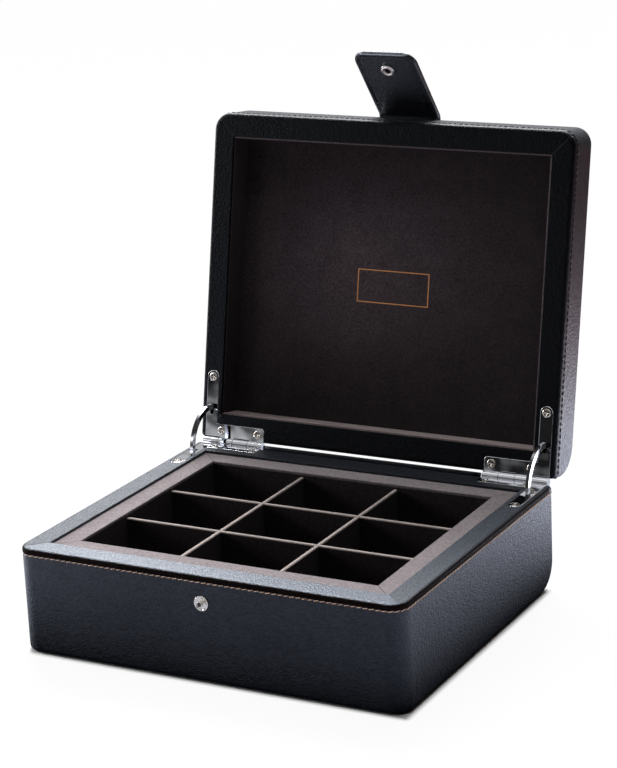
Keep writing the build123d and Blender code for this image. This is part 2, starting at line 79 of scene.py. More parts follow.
# %% Camera
TURN, LIFT, ROLL = radians(28.71), radians(16.687), radians(-2.669)
CAMERA_PLACE = Vector((0.58017, -1.03194, 0.48320))
LENS_MM, SENSOR_MM, FURTHEST_M = 139.9, 36, 20
forward = Vector((-sin(TURN) * cos(LIFT), cos(TURN) * cos(LIFT), -sin(LIFT)))
level = Vector((cos(TURN), sin(TURN), 0))
upward = level.cross(forward)
right = level * cos(ROLL) + upward * sin(ROLL)
above = -level * sin(ROLL) + upward * cos(ROLL)
camera = in_scene("camera", bpy.data.cameras.new("camera"))
camera.matrix_world = Matrix.Translation(CAMERA_PLACE) @ Matrix((right, above, -forward)).transposed().to_4x4()
camera.data.sensor_fit = "HORIZONTAL"
camera.data.sensor_width = SENSOR_MM
camera.data.lens = LENS_MM
camera.data.clip_end = FURTHEST_M
bpy.context.scene.camera = camera
print("camera to the box's middle:", round((CAMERA_PLACE - Vector((0, 0, 0.1))).length, 2), "m")

# %% [markdown]
# ## Nodes and colours
# A material is a small tree of nodes. One function adds a node with its settings and links, so
# each finish below reads as a list of what feeds what. Colours are written as a paint shop
# writes them, in sRGB hex, and one function turns them to the linear light that a shader needs.

# %% Helpers for materials
MM = 0.001


def colour(hex_text):
    """sRGB hex to linear RGBA: each channel c is c/12.92 below 0.04045, else ((c+0.055)/1.055)^2.4."""
    parts = np.array([int(hex_text[i : i + 2], 16) for i in (1, 3, 5)]) / 255
    linear = np.where(parts < 0.04045, parts / 12.92, ((parts + 0.055) / 1.055) ** 2.4)
    return (*[float(c) for c in linear], 1.0)


def feed(node, inputs):
    """Set a node's inputs, from a list in their order or from a dict by name or number.

    Each takes a value, a socket, or a node, which stands for its first output.
    """
    for key, value in inputs.items() if isinstance(inputs, dict) else enumerate(inputs):
        if isinstance(value, bpy.types.Node):
            value = value.outputs[0]
        if isinstance(value, bpy.types.NodeSocket):
            node.id_data.links.new(value, node.inputs[key])
        else:
            node.inputs[key].default_value = value


def add(tree, kind, inputs=(), stops=(), **settings):
    """Add a shader node with its settings and links. stops are a ramp's (place, hex colour) pairs."""
    node = tree.nodes.new("ShaderNode" + kind)
    for name, value in settings.items():
        setattr(node, name, value)
    while stops and len(node.color_ramp.elements) < len(stops):
        node.color_ramp.elements.new(1.0)
    for number, (place, hex_text) in enumerate(stops):
        node.color_ramp.elements[number].position = place
        node.color_ramp.elements[number].color = colour(hex_text)
    feed(node, inputs)
    return node


def parts_of(material):
    """A material's node tree and its Principled shader."""
    return material.node_tree, material.node_tree.nodes["Principled BSDF"]


def new_material(name):
    """An empty material, as (material, tree, shader)."""
    material = bpy.data.materials.new(name)
    material.use_nodes = True
    print("finish:", name)
    return material, *parts_of(material)


def tone_of(shader):
    """The socket that feeds a shader's colour."""
    return shader.inputs["Base Color"].links[0].from_socket


print("the sRGB grey #808080 is", round(colour("#808080")[0], 3), "in linear light")

# %% [markdown]
# ## Where the box's own lines run
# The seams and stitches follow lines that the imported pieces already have, such as the mitres of
# the rim. The lid's lines are easiest to give on the shut lid, so a turn about the hinge pin
# takes them to where the lid stands open. The joints in the frame say where that pin is.

# %% Measures of the box
joints = {joint["name"]: joint for joint in frame["joints"]}
PIN = np.array(joints["lid_hinge"]["pos_m"]) * (0, 1, 1)
LID_ANGLE = radians(joints["lid_hinge"]["range_deg"][1])
HALF_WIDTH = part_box("base_leather_wrap")[1][0]
HALF_DEPTH = -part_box("base_leather_wrap")[0][1]
RIM_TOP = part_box("base_rim_front")[1][2]
LID_RIM = 2 * PIN[2] - RIM_TOP  # The shut lid's rim is as far above the pin as the base's is below it.
BASE_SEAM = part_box("base_leather_wrap")[1][2]
LID_SEAM = LID_RIM + 5.2 * MM
FRONT_CORNER, REAR_CORNER = 9.5 * MM, 2.5 * MM
MOUTH_SIDE, MOUTH_FRONT, MOUTH_REAR = 97 * MM, -80 * MM, 79 * MM
RIM_RATIO = 13 / 14  # The width of a side strip of the rim over that of the rear one.


def turned_about_x(points, centre, angle):
    """Points turned about an axis along X through a centre: (y, z) times the turning matrix."""
    y, z = points[..., 1] - centre[1], points[..., 2] - centre[2]
    swung_y = y * cos(angle) - z * sin(angle) + centre[1]
    swung_z = y * sin(angle) + z * cos(angle) + centre[2]
    return np.stack([points[..., 0], swung_y, swung_z], axis=-1)


def opened(points):
    """Points of the shut lid, where they are when the lid stands open."""
    return turned_about_x(points, PIN, -LID_ANGLE)


def opened_way(ways):
    """Directions on the shut lid, as they point when the lid stands open."""
    return opened(ways + PIN) - PIN


def shut_place(tree, on_lid):
    """Where a shaded point is on the shut box: a point of the lid is turned back about the pin."""
    place = add(tree, "TexCoord").outputs["Object"]
    swing = {"Vector": place, "Center": tuple(PIN), "Angle": LID_ANGLE if on_lid else 0.0}
    return add(tree, "VectorRotate", swing, rotation_type="X_AXIS").outputs[0]


print("pin at", PIN, "seams at", round(BASE_SEAM, 4), round(LID_SEAM, 4))

# %% [markdown]
# ## Black leather
# The box is covered in pigmented calf leather, pressed with a fine pebble grain that runs a
# little longer along the walls than up them. A scanned picture of leather would have a size and
# edges of its own, so the grain is worked out here. A Voronoi pattern gives the pebbles, noises
# give the creases and folds, and the colour is a shade lighter on the pebbles than in the creases.
# A dusty sheen makes a surface that is seen edge on, such as the rim, turn pale.

# %% Leather
GRAIN_STRETCH = (0.62, 0.62, 1.25)
CREASE_FINENESS, FOLD_FINENESS, CLOUDS_MM = 1.7, 0.42, 28


def leather(
    name, pebble, crease, on_lid=False, uv=False, grain_mm=0.85, depth_mm=0.16, roughness=0.42, gloss=0.5, sheen=0.35
):
    """Pebbled leather, as (material, position on the shut box).

    The height is 0.9 folds + creases - distance from a pebble's middle. The shade is that height
    + 0.35 clouds - 0.17, and the roughness falls by 0.16 as it goes from dark to pale.
    """
    material, tree, shader = new_material(name)
    laid = add(tree, "TexCoord").outputs["UV"] if uv else shut_place(tree, on_lid)
    stretched = add(tree, "Mapping", {"Vector": laid, "Scale": (1, 1, 1) if uv else GRAIN_STRETCH})
    grain = grain_mm * MM
    pebbles = add(tree, "TexVoronoi", {"Vector": stretched, "Scale": 1 / grain, "Smoothness": 0.6}, feature="SMOOTH_F1")
    creases = add(tree, "TexNoise", {"Vector": stretched, "Scale": CREASE_FINENESS / grain, "Detail": 3.0})
    folds = add(tree, "TexNoise", {"Vector": stretched, "Scale": FOLD_FINENESS / grain, "Detail": 2.0})
    clouds = add(tree, "TexNoise", {"Vector": laid, "Scale": 1 / (CLOUDS_MM * MM), "Detail": 2.0})
    height = add(tree, "Math", [creases, pebbles], operation="SUBTRACT")
    height = add(tree, "Math", [folds, 0.9, height], operation="MULTIPLY_ADD")
    shade = add(tree, "MapRange", [height, 0.0, 1.0])
    clouds = add(tree, "Math", [clouds, 0.35, -0.17], operation="MULTIPLY_ADD")
    shade = add(tree, "Math", [shade, clouds], operation="ADD")
    feed(shader, {
        "Base Color": add(tree, "ValToRGB", [shade], stops=[(0.0, crease), (1.0, pebble)]),
        "Roughness": add(tree, "MapRange", [shade, 0.0, 1.0, roughness + 0.1, roughness - 0.06]),
        "Normal": add(tree, "Bump", {"Height": height, "Strength": 1.0, "Distance": depth_mm * MM}),
        "IOR": 1.5,
        "Specular IOR Level": gloss,
        "Specular Tint": colour("#e4edff"),
        "Sheen Weight": sheen,
        "Sheen Roughness": 0.35,
        "Sheen Tint": colour("#bccbe0"),
    })
    return material, laid


# %% [markdown]
# ## Mitres and wear
# The rim's strips are cut at 45 degrees or so and meet in a fine dark line. A real gap in the mesh
# would be narrower than a pixel and would flicker, so the line is drawn in the finish, with a
# groove under it. The lid's front is worn matt by hands, which is a matter of roughness alone.


# %% Mitres and wear
def seams(material, laid, rear_ratio, joint):
    """Draw the mitres, where two strips meet at a corner.

    Along a front mitre |x| - side equals front - y. Along a rear one it equals y - rear, times
    the ratio of the strips' widths. The joint is drawn where that difference is under 0.15 mm,
    and fades until 0.45 mm.
    """
    tree, shader = parts_of(material)
    x, y, _ = add(tree, "SeparateXYZ", [laid]).outputs
    beside = add(tree, "Math", [x], operation="ABSOLUTE")
    beside = add(tree, "Math", [beside, MOUTH_SIDE], operation="SUBTRACT")
    before = add(tree, "Math", [MOUTH_FRONT, y], operation="SUBTRACT")
    behind = add(tree, "Math", [y, MOUTH_REAR], operation="SUBTRACT")
    behind = add(tree, "Math", [behind, rear_ratio], operation="MULTIPLY")
    apart = [add(tree, "Math", [beside, way], operation="SUBTRACT") for way in (before, behind)]
    apart = [add(tree, "Math", [gap], operation="ABSOLUTE") for gap in apart]
    nearest = add(tree, "Math", apart, operation="MINIMUM")
    clear = add(tree, "MapRange", [nearest, 0.15 * MM, 0.45 * MM])
    groove = add(tree, "Bump", {"Height": clear, "Strength": 1.0, "Distance": 0.25 * MM})
    feed(shader.inputs["Normal"].links[0].from_node, {"Normal": groove})
    drawn = add(tree, "Mix", {0: clear, 6: colour(joint), 7: tone_of(shader)}, data_type="RGBA")
    feed(shader, {"Base Color": drawn.outputs[2]})
    return material


def rim_leather(name, pebble, crease, joint="#050506", **finish):
    """Leather for a strip of the rim, with its mitres."""
    return seams(*leather(name, pebble, crease, **finish), RIM_RATIO, joint)


def matte_front(material, laid):
    """Wear the lid's front matte, where hands lift it: fully from 2 mm behind the front forwards."""
    tree, shader = parts_of(material)
    depth = add(tree, "SeparateXYZ", [laid]).outputs[1]
    worn = add(tree, "MapRange", [depth, FRONT_CORNER - HALF_DEPTH, 2 * MM - HALF_DEPTH])
    polished = shader.inputs["Roughness"].links[0].from_socket
    feed(shader, {"Roughness": add(tree, "Mix", {0: worn, 2: polished, 3: 0.85}, data_type="FLOAT")})
    return material


# %% [markdown]
# ## The box's leathers
# All the leather comes from one hide, and the light does most of the rest. Strips that lie flat,
# stand in shade or are seen end on still need their own strength of sheen and gloss, since a
# simple sheen doesn't follow the real one at every angle. The rear strip and the lid's rim are also
# darker copies of the leather: painted shade. Each was matched to its own place.

# %% The box's leathers
# The walls show the grain most, because the light skims them.
wall_leather = leather("pebbled_calf_walls", "#353841", "#0a0b0e", depth_mm=0.24)[0]
# The front strip of the rim lies flat under the rear light, and a full sheen turns it pale and bluish.
flat_grain = {"grain_mm": 0.62, "depth_mm": 0.22}
front_rim_leather = rim_leather("pebbled_calf_rim", "#2a2e36", "#0e1013", sheen=1.0, gloss=0.8, **flat_grain)
# The side strips are seen along their length and catch less of that light.
left_rim_leather = rim_leather("pebbled_calf_rim_left", "#262a31", "#0e1013", sheen=0.4, gloss=0.34, **flat_grain)
right_rim_leather = rim_leather("pebbled_calf_rim_side", "#262a31", "#0e1013", sheen=0.5, gloss=0.45, **flat_grain)
# The rear strip and the piping stay dark under the open lid, and their leather is a darker copy:
# painted shade.
rear_rim_leather = rim_leather("pebbled_calf_rim_rear", "#15161a", "#07080a", grain_mm=0.62, sheen=0.12, gloss=0.3)
# The lid's outside is the deepest black, and its long reflections are broken by the grain.
lid_leather = leather("pebbled_calf_lid", "#1e2127", "#08090b", on_lid=True, sheen=0.0, depth_mm=0.2, gloss=0.4)
lid_leather = matte_front(*lid_leather)
# The lid's rim faces the camera and has no light behind it, and its leather is a darker copy, painted
# shade, so its mitres show as paler lines.
lid_rim_leather = rim_leather(
    "pebbled_calf_lid_rim", "#0b0c0f", "#030304", "#1d2025", on_lid=True, sheen=0.03, gloss=0.15
)
# The strap's grain lies on the flat strap's own map, so it bends with the fold.
strap_leather = leather("pebbled_calf_strap", "#191b20", "#07080a", uv=True, depth_mm=0.2, sheen=0.1)[0]
# Edge paint fills the grain and is brown-black and matt: a dark line between the seam and the rim.
band_leather = leather(
    "painted_leather_edge", "#1c120f", "#0c0807", sheen=0.0, gloss=0.03, roughness=0.6, depth_mm=0.1
)[0]

# %% [markdown]
# ## Suede
# The tray and the lid are lined with microfibre suede. A hair system could grow its nap, but the
# fibres are finer than a pixel. So the nap is a pattern of fibres and tufts, with broad patches
# where it lies another way, under a soft sheen. Cut and pressed edges are paler than the faces.

# %% Suede
PRESSED = 0.5 * MM
STROKE_MM, TUFT_MM = 16, 1.1


def suede(name, nap, shadow, fibre_mm=0.35, sheen=0.3, broad=0.2):
    """Brushed microfibre suede, shaded by 0.3 fibres + 0.6 tufts + broad times the strokes."""
    material, tree, shader = new_material(name)
    place = add(tree, "TexCoord").outputs["Object"]
    fibres = add(tree, "TexNoise", {"Vector": place, "Scale": 1 / (fibre_mm * MM), "Detail": 2.0})
    tufts = add(tree, "TexNoise", {"Vector": place, "Scale": 1 / (TUFT_MM * MM), "Detail": 3.0})
    strokes = {"Vector": place, "Scale": 1 / (STROKE_MM * MM), "Detail": 3.0, "Distortion": 0.6}
    shade = 0.0
    for pattern, share in ((fibres, 0.3), (tufts, 0.6), (add(tree, "TexNoise", strokes), broad)):
        shade = add(tree, "Math", [pattern, share, shade], operation="MULTIPLY_ADD")
    stops = [(0.36 + broad / 3, shadow), (0.56 + broad / 1.5, nap)]
    feed(shader, {
        "Base Color": add(tree, "ValToRGB", [shade], stops=stops),
        "Normal": add(tree, "Bump", {"Height": fibres, "Strength": 0.6, "Distance": 0.15 * MM}),
        "Roughness": 0.95,
        "Specular IOR Level": 0.15,
        "Sheen Weight": sheen,
        "Sheen Roughness": 0.5,
    })
    return material


# %% [markdown]
# ## Pressed suede and painted light
# Suede is paler where its nap is pressed flat or cut, and the lid panel carries painted light:
# lighter in its middle and darker towards its edges. Both could be painted by hand on a map. Here
# each is a function of the place on the shut box, so it stays sharp at any distance.


# %% Pressed suede and painted light
def pale_edge(material, nap, level, on_lid=False):
    """Turn suede paler over the last 0.5 mm of its boards, up to a level, or down to it on the shut lid."""
    tree, shader = parts_of(material)
    height = add(tree, "SeparateXYZ", [shut_place(tree, on_lid)]).outputs[2]
    share = add(tree, "MapRange", [height, level + PRESSED if on_lid else level - PRESSED, level])
    mixed = add(tree, "Mix", {0: share, 6: tone_of(shader), 7: colour(nap)}, data_type="RGBA")
    feed(shader, {"Base Color": mixed.outputs[2]})
    return material


def painted_light_middle(material):
    """Paint light in the lid panel's middle and shade at its edges: the tone is scaled by 0.8 + 1.5 e^(-3 r^2).

    r is the distance from a place a little in front of the panel's middle, over 110 by 82 mm.
    """
    tree, shader = parts_of(material)
    spot = {"Location": (0.22, 0.1, 0), "Scale": (1 / (110 * MM), 1 / (82 * MM), 0)}
    r = add(tree, "Mapping", {"Vector": shut_place(tree, on_lid=True), **spot})
    squared_r = add(tree, "VectorMath", [r, r], operation="DOT_PRODUCT").outputs["Value"]
    light_pool = add(tree, "Math", [squared_r, -3.0], operation="MULTIPLY")
    light_pool = add(tree, "Math", [light_pool], operation="EXPONENT")
    scale = add(tree, "Math", [light_pool, 1.5, 0.8], operation="MULTIPLY_ADD")
    feed(shader, {"Base Color": add(tree, "VectorMath", {0: tone_of(shader), "Scale": scale}, operation="SCALE")})
    return material


# %% [markdown]
# ## The box's suedes
# One suede lines the whole box, dyed taupe on the tray's frame and dark brown elsewhere. It keeps
# the same fibres everywhere. Only its dye, its sheen and its pressed edges change, and on the lid its
# tone also carries painted light and shade.

# %% The box's suedes
# The tray's frame is the palest suede, and its mitres are fine dark lines.
taupe_suede = suede("taupe_suede", "#8d8385", "#655b5f", broad=0.12)
taupe_place = add(taupe_suede.node_tree, "TexCoord").outputs["Object"]
taupe_suede = seams(taupe_suede, taupe_place, 1.0, "#4a4244")
# The compartments are lined darker, so that they read as deep.
dark_suede = suede("dark_brown_suede", "#3e3638", "#262022", sheen=0.08)
# The lid panel's suede is lighter in the middle and darker towards its edges: painted light and shade.
panel_suede = painted_light_middle(suede("dark_suede_painted_light_panel", "#3a3335", "#241e20", sheen=0.06))
# The dividers are pressed along their tops, which draws the tray's grid in pale lines.
divider_suede = suede("dark_suede_with_pressed_top", "#3c3436", "#262021", sheen=0.1)
divider_suede = pale_edge(divider_suede, "#a29894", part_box("divider_long_front")[1][2] - PRESSED)
# The lid's lining boards have a cut edge. The left one is in shade, and its suede is a darker copy of
# the others: painted shade. Its edge is the brightest.
lid_wall_suede = suede("dark_suede_with_cut_edge", "#766a6b", "#554a4c", sheen=0.1)
lid_wall_suede = pale_edge(lid_wall_suede, "#b3a29e", LID_RIM + PRESSED, on_lid=True)
left_wall_suede = suede("dark_suede_painted_shade", "#352f30", "#231e1f", sheen=0.05)
left_wall_suede = pale_edge(left_wall_suede, "#c4b6b2", LID_RIM + PRESSED, on_lid=True)
# The rear board faces up at the open lid's foot and takes the light, and its suede is also a paler
# copy of the others: painted light.
low_wall_suede = suede("suede_painted_lit_on_lid_floor", "#9c8d8b", "#776a69", sheen=0.2)

# %% [markdown]
# ## Metals
# The hinges are chromed and the snap is nickelled. Perfect mirrors would show straight, hard
# reflections, and polished plate never does. So each metal has a very shallow wave, a few
# millimetres long, and only the parts that a wheel doesn't reach are rough.


# %% Metals
def metal(name, tone, roughness, wave_mm=9.0, wave_depth_mm=0.02, metallic=1.0):
    """Plated metal: a mirror that polishing left very slightly wavy, so reflections in it bend."""
    material, tree, shader = new_material(name)
    place = add(tree, "TexCoord").outputs["Object"]
    wave = add(tree, "TexNoise", {"Vector": place, "Scale": 1 / (wave_mm * MM), "Detail": 1.0})
    bump = add(tree, "Bump", {"Height": wave, "Strength": 1.0, "Distance": wave_depth_mm * MM})
    feed(shader, {"Normal": bump, "Base Color": colour(tone), "Metallic": metallic, "Roughness": roughness})
    return material


# Bright plate shows the studio: the leaves half pale and half dark, the snap with hard glints.
chrome = metal("polished_chrome_plate", "#dfe1e6", 0.0, 14.0, 0.16)
nickel = metal("polished_nickel_plate", "#d3cec9", 0.0, 2.0, 0.05)
screw_steel = metal("polished_screw_steel", "#d2cac0", 0.0, 1.5, 0.02)
# The thin arms are brushed, which spreads their light into one soft line.
arm_chrome = metal("brushed_chrome_arm", "#d4d6da", 0.16, 14.0, 0.1)
# Rolled ends and recesses take dark metals, painted shade, so they read as dark eyes.
tip_nickel = metal("shaded_nickel_tip", "#57504b", 0.3, 2.0, 0.05)
screw_recess = metal("shaded_screw_recess", "#1c1510", 0.5, 1.5, 0.02)
# The socket's ring is satin and pale all round.
satin_nickel = metal("satin_nickel_ring", "#e9dfd9", 0.38, 1.2, 0.05)
# Foil is a lacquered film on soft suede: only partly a mirror, it keeps its colour in shade.
gold_foil = metal("gold_foil_line", "#dd9a5c", 0.45, metallic=0.35)

# %% [markdown]
# ## Thread
# The stitches are waxed linen thread. Twisted strands could be modelled, but a strand is a tenth
# of a millimetre thick here. A slanting wave across a smooth bead gives the same light and dark.


# %% Thread
def thread(name, strand, valley):
    """Waxed linen thread: its plies twist round, so a slanting wave darkens the valleys between them."""
    material, tree, shader = new_material(name)
    wave = {"Vector": add(tree, "TexCoord").outputs["Object"], "Scale": 1 / (3 * MM), "Distortion": 1.0}
    twist = add(tree, "TexWave", wave, bands_direction="DIAGONAL").outputs["Fac"]
    base = add(tree, "ValToRGB", [twist], stops=[(0.1, valley), (0.7, strand)])
    feed(shader, {"Base Color": base, "Roughness": 0.55})
    return material


# Orange thread is the box's one bright line. Black thread shows only by its own small shadows.
orange_thread = thread("waxed_thread_orange", "#ffe6cc", "#e39a68")
black_thread = thread("waxed_thread_black", "#141518", "#050506")

# %% [markdown]
# ## Felt and board, and who wears what
# The underside is felt and the body is fibreboard. Both are short fibres, as suede is, so they
# take the suede's pattern with coarser fibres. A piece takes the finish of the first start of a
# name that fits it, so one line dresses a whole family of pieces.

# %% Felt and board
felt = suede("black_wool_felt", "#1c1d20", "#0d0e10", fibre_mm=0.5, sheen=0.2)  # Dull and light-swallowing.
board = suede("bare_fibreboard", "#8a6a4c", "#6e5138", fibre_mm=0.6, sheen=0.0)  # Only its hidden core shows it.

FINISHES = {
    "lid_leather_wrap": lid_leather,
    "base_leather_wrap": wall_leather,
    "underside_felt": felt,
    "base_carcass": board,
    "lid_carcass": board,
    "base_rim_left": left_rim_leather,
    "base_rim_right": right_rim_leather,
    "base_rim_rear": rear_rim_leather,
    "base_rim": front_rim_leather,
    "lid_rim": lid_rim_leather,
    "tray_frame": taupe_suede,
    "divider": divider_suede,
    "lid_lining_panel": panel_suede,
    "lid_lining_rear": low_wall_suede,
    "lid_lining_left": left_wall_suede,
    "lid_lining": lid_wall_suede,
    "tray": dark_suede,
    "snap": nickel,
    "lower_leaf": chrome,
    "upper_leaf": chrome,
    "hinge_pin": chrome,
    "quadrant_arm": arm_chrome,
    "tab": strap_leather,
    "compartment_pads": dark_suede,
}
for name, piece in nodes.items():
    for start, finish in FINISHES.items():
        if name.startswith(start):
            piece.data.materials.clear()
            piece.data.materials.append(finish)
            break
    else:
        print("no finish yet:", name)
print("dressed", len(nodes), "pieces in", len(set(FINISHES.values())), "finishes")

# %% [markdown]
# ## Meshes from arrays
# A new piece could be modelled by hand, point by point. Here each is a surface worked out as whole
# numpy arrays, so its measures stay in the script and can be changed. Most are rings of points
# joined by quads: a profile carried along a line, or turned about an axis.


# %% Pieces from arrays
def piece_from(name, points, faces, finish, smooth=True):
    """A mesh object from points of shape (..., 3) and faces of point numbers."""
    mesh = bpy.data.meshes.new(name)
    mesh.from_pydata(points.reshape(-1, 3).tolist(), [], [tuple(map(int, face)) for face in faces])
    mesh.update()
    mesh.polygons.foreach_set("use_smooth", [smooth] * len(mesh.polygons))
    mesh.materials.append(finish)
    print(name, "has", len(mesh.vertices), "points and", len(mesh.polygons), "faces")
    return in_scene(name, mesh)


def tube_faces(rings, sides, closed=False):
    """Quads between rings of points that each close round. If closed, the last ring joins the first."""
    index = np.arange(rings * sides).reshape(rings, sides)
    if closed:
        index = np.vstack([index, index[:1]])
    beside = np.roll(index, -1, axis=1)
    return np.stack([index[:-1], index[1:], beside[1:], beside[:-1]], axis=-1).reshape(-1, 4)


def two_finished(made, second, takes_second):
    """Give the marked faces a second finish, merge the points at the poles and turn all faces outwards."""
    made.data.materials.append(second)
    made.data.polygons.foreach_set("material_index", np.asarray(takes_second).astype(int).tolist())
    merged = bmesh.new()
    merged.from_mesh(made.data)
    bmesh.ops.remove_doubles(merged, verts=merged.verts, dist=1e-6)
    bmesh.ops.recalc_face_normals(merged, faces=merged.faces)
    merged.to_mesh(made.data)
    merged.free()


def walked(path):
    """How far along a path each of its points is."""
    return np.concatenate([[0], np.cumsum(np.linalg.norm(np.diff(path, axis=0), axis=1))])


def at(places, along, values):
    """Values of several columns, read between their points at places along the path."""
    return np.stack([np.interp(places, along, column) for column in values.T], axis=1)


print("a tube of 3 rings of 4 points has", len(tube_faces(3, 4)), "faces")

# %% [markdown]
# ## Stitches
# A stitch is a short bead of thread that dips into the leather at each end and lies at a slant.
# A pattern on the leather would look flat where the light skims it, so each stitch is a mesh.
# A row of some hundreds must be light, so each bead is two poles and five rings of six points.

# %% Rows of stitches
RINGS, SIDES = 5, 6


def bead_faces():
    """Faces of one bead: a fan at each pole, whose triangles repeat a corner, and quads between the rings."""
    side = np.arange(SIDES)
    following, last, tip = np.roll(side, -1), 1 + (RINGS - 1) * SIDES, 0 * side + 1 + RINGS * SIDES
    first_fan = np.column_stack([0 * side, 1 + following, 1 + side, 1 + side])
    last_fan = np.column_stack([last + side, last + following, tip, tip])
    return np.vstack([first_fan, 1 + tube_faces(RINGS, SIDES)[:, ::-1], last_fan])


def stitch_row(name, path, normals, finish, pitch, length, width, slant=12.0, closed=True):
    """Beads along a path.

    A bead runs from a = -1 to 1. Its radius is width/2 times sqrt(1 - a^4), and its middle lies
    width/4 times (1 - 2 a^2) above the surface, so its ends are under the leather.
    """
    if closed:
        path, normals = np.vstack([path, path[:1]]), np.vstack([normals, normals[:1]])
    along = walked(path)
    count = int(round(along[-1] / pitch))
    middles = (np.arange(count) + 0.5) * along[-1] / count
    reach = 0.3 * length
    centre, outward = at(middles, along, path), at(middles, along, normals)
    outward /= np.linalg.norm(outward, axis=1, keepdims=True)
    ahead = at(middles + reach, along, path) - at(middles - reach, along, path)
    ahead /= np.linalg.norm(ahead, axis=1, keepdims=True)
    aside = np.cross(outward, ahead)
    lean_cos, lean_sin = cos(radians(slant)), sin(radians(slant))
    ahead, aside = ahead * lean_cos + aside * lean_sin, aside * lean_cos - ahead * lean_sin
    a = np.array([-1.0] + np.repeat(np.linspace(-0.9, 0.9, RINGS), SIDES).tolist() + [1.0])
    around = np.array([0.0] + np.tile(np.arange(SIDES) * 2 * pi / SIDES, RINGS).tolist() + [0.0])
    radius = width / 2 * np.sqrt(np.clip(1 - a**4, 0, 1))
    height = width / 4 * (1 - 2 * a**2)
    points = (
        centre[:, None]
        + ahead[:, None] * (a * length / 2)[None, :, None]
        + aside[:, None] * (radius * np.cos(around))[None, :, None]
        + outward[:, None] * (height + radius * np.sin(around))[None, :, None]
    )
    faces = (bead_faces()[None] + np.arange(count)[:, None, None] * points.shape[1]).reshape(-1, 4)
    faces = [face[:3] if face[2] == face[3] else face for face in faces.tolist()]
    print(count, "stitches")
    return piece_from(name, points, faces, finish)


def loop_round(half_width, front, rear, front_radius, rear_radius, level, arc_points=14):
    """A rounded rectangle at a level, as (points, outward normals): four arcs joined by straights."""
    corners = [
        (-half_width + front_radius, front + front_radius, front_radius, pi),
        (half_width - front_radius, front + front_radius, front_radius, 1.5 * pi),
        (half_width - rear_radius, rear - rear_radius, rear_radius, 0.0),
        (-half_width + rear_radius, rear - rear_radius, rear_radius, 0.5 * pi),
    ]
    sweep = np.linspace(0, pi / 2, arc_points)
    points, normals = [], []
    for x, y, radius, first in corners:
        out = np.stack([np.cos(first + sweep), np.sin(first + sweep), np.zeros(arc_points)], axis=1)
        normals.append(out)
        points.append(np.array([x, y, level]) + out * radius)
    return np.vstack(points), np.vstack(normals)


# %% [markdown]
# ## The walls' stitches
# Long orange stitches run round the base just over its seam, and black ones round the lid. Each
# row follows the wall's own outline, and the lid's row is worked out shut and then opened.

# %% The walls' stitches
WALL_PITCH, ABOVE_BASE_SEAM, BELOW_LID_SEAM = 3.3 * MM, 0.5 * MM, 0.6 * MM
WALL_LEAN = 2.4 / 25.5  # The lid's front wall leans in by 2.4 mm over its height of 25.5 mm.
base_path, base_outward = loop_round(
    HALF_WIDTH, -HALF_DEPTH, HALF_DEPTH, FRONT_CORNER, REAR_CORNER, BASE_SEAM + ABOVE_BASE_SEAM
)
base_stitches = stitch_row(
    "base_stitches", base_path, base_outward, orange_thread, pitch=WALL_PITCH, length=3.25 * MM, width=0.52 * MM
)
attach(base_stitches, "base")

lid_seam_line = LID_SEAM - BELOW_LID_SEAM
lid_front = -HALF_DEPTH - WALL_LEAN * (lid_seam_line - LID_RIM)
lid_path, lid_outward = loop_round(HALF_WIDTH, lid_front, HALF_DEPTH, FRONT_CORNER, REAR_CORNER, lid_seam_line)
lid_path, lid_outward = opened(lid_path), opened_way(lid_outward)
lid_stitches = stitch_row(
    "lid_stitches", lid_path, lid_outward, black_thread, pitch=WALL_PITCH, length=2.7 * MM, width=0.7 * MM
)
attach(lid_stitches, "lid")

# %% [markdown]
# ## The painted edge
# Between the seam and the rim's top, the turned-down leather has a painted, almost black edge. It
# could be a darker band in the wall's finish, but paint stands a hair proud. So it is a thin strip
# that follows the wall, turns in with the rim's rounding, and is carried round the front.

# %% Painted edge
ROUNDING, TURNED_IN, TURN_STEPS = 2.0 * MM, radians(52), 7
SHORT_OF_REAR, ABOVE_STITCHES, PAINT_UNDER = 5 * MM, 0.9 * MM, 0.2 * MM


def carried_along(name, line, outward, profile, finish):
    """A closed profile of (outwards, up) offsets carried along an open line, with an end face on each end."""
    out, up = profile[:, 0], profile[:, 1]
    points = line[:, None] + outward[:, None] * out[None, :, None] + np.array((0, 0, 1.0)) * up[None, :, None]
    count, around = points.shape[:2]
    end = np.arange(around)
    ends = [end.tolist(), (end[::-1] + (count - 1) * around).tolist()]
    return piece_from(name, points, tube_faces(count, around).tolist() + ends, finish)


wall_loop, wall_outward = loop_round(HALF_WIDTH, -HALF_DEPTH, HALF_DEPTH, FRONT_CORNER, REAR_CORNER, 0.0)
front_half = len(wall_loop) // 2
side_ends = np.array([(side * HALF_WIDTH, HALF_DEPTH - SHORT_OF_REAR, 0) for side in (-1, 1)])
edge_line = np.vstack([side_ends[:1], wall_loop[:front_half], side_ends[1:]])
edge_outward = np.vstack([(-1.0, 0, 0), wall_outward[:front_half], (1.0, 0, 0)])
turn_in = np.linspace(0, TURNED_IN, TURN_STEPS)
face_out = np.concatenate([[0.0], -ROUNDING * (1 - np.cos(turn_in))])
face_up = np.concatenate([[BASE_SEAM + ABOVE_STITCHES], RIM_TOP - ROUNDING + ROUNDING * np.sin(turn_in)])
face_way = np.concatenate([[0.0], turn_in])
# The paint stands 0.1 mm proud of the leather, and thins to 0.02 mm at its two edges.
proud = np.array([0.02] + [0.1] * (TURN_STEPS - 1) + [0.02]) * MM
outer, inner = (
    np.column_stack([face_out + by * np.cos(face_way), face_up + by * np.sin(face_way)])
    for by in (proud, -PAINT_UNDER)
)
painted_edge = carried_along("painted_edge", edge_line, edge_outward, np.vstack([outer, inner[::-1]]), band_leather)
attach(painted_edge, "base")

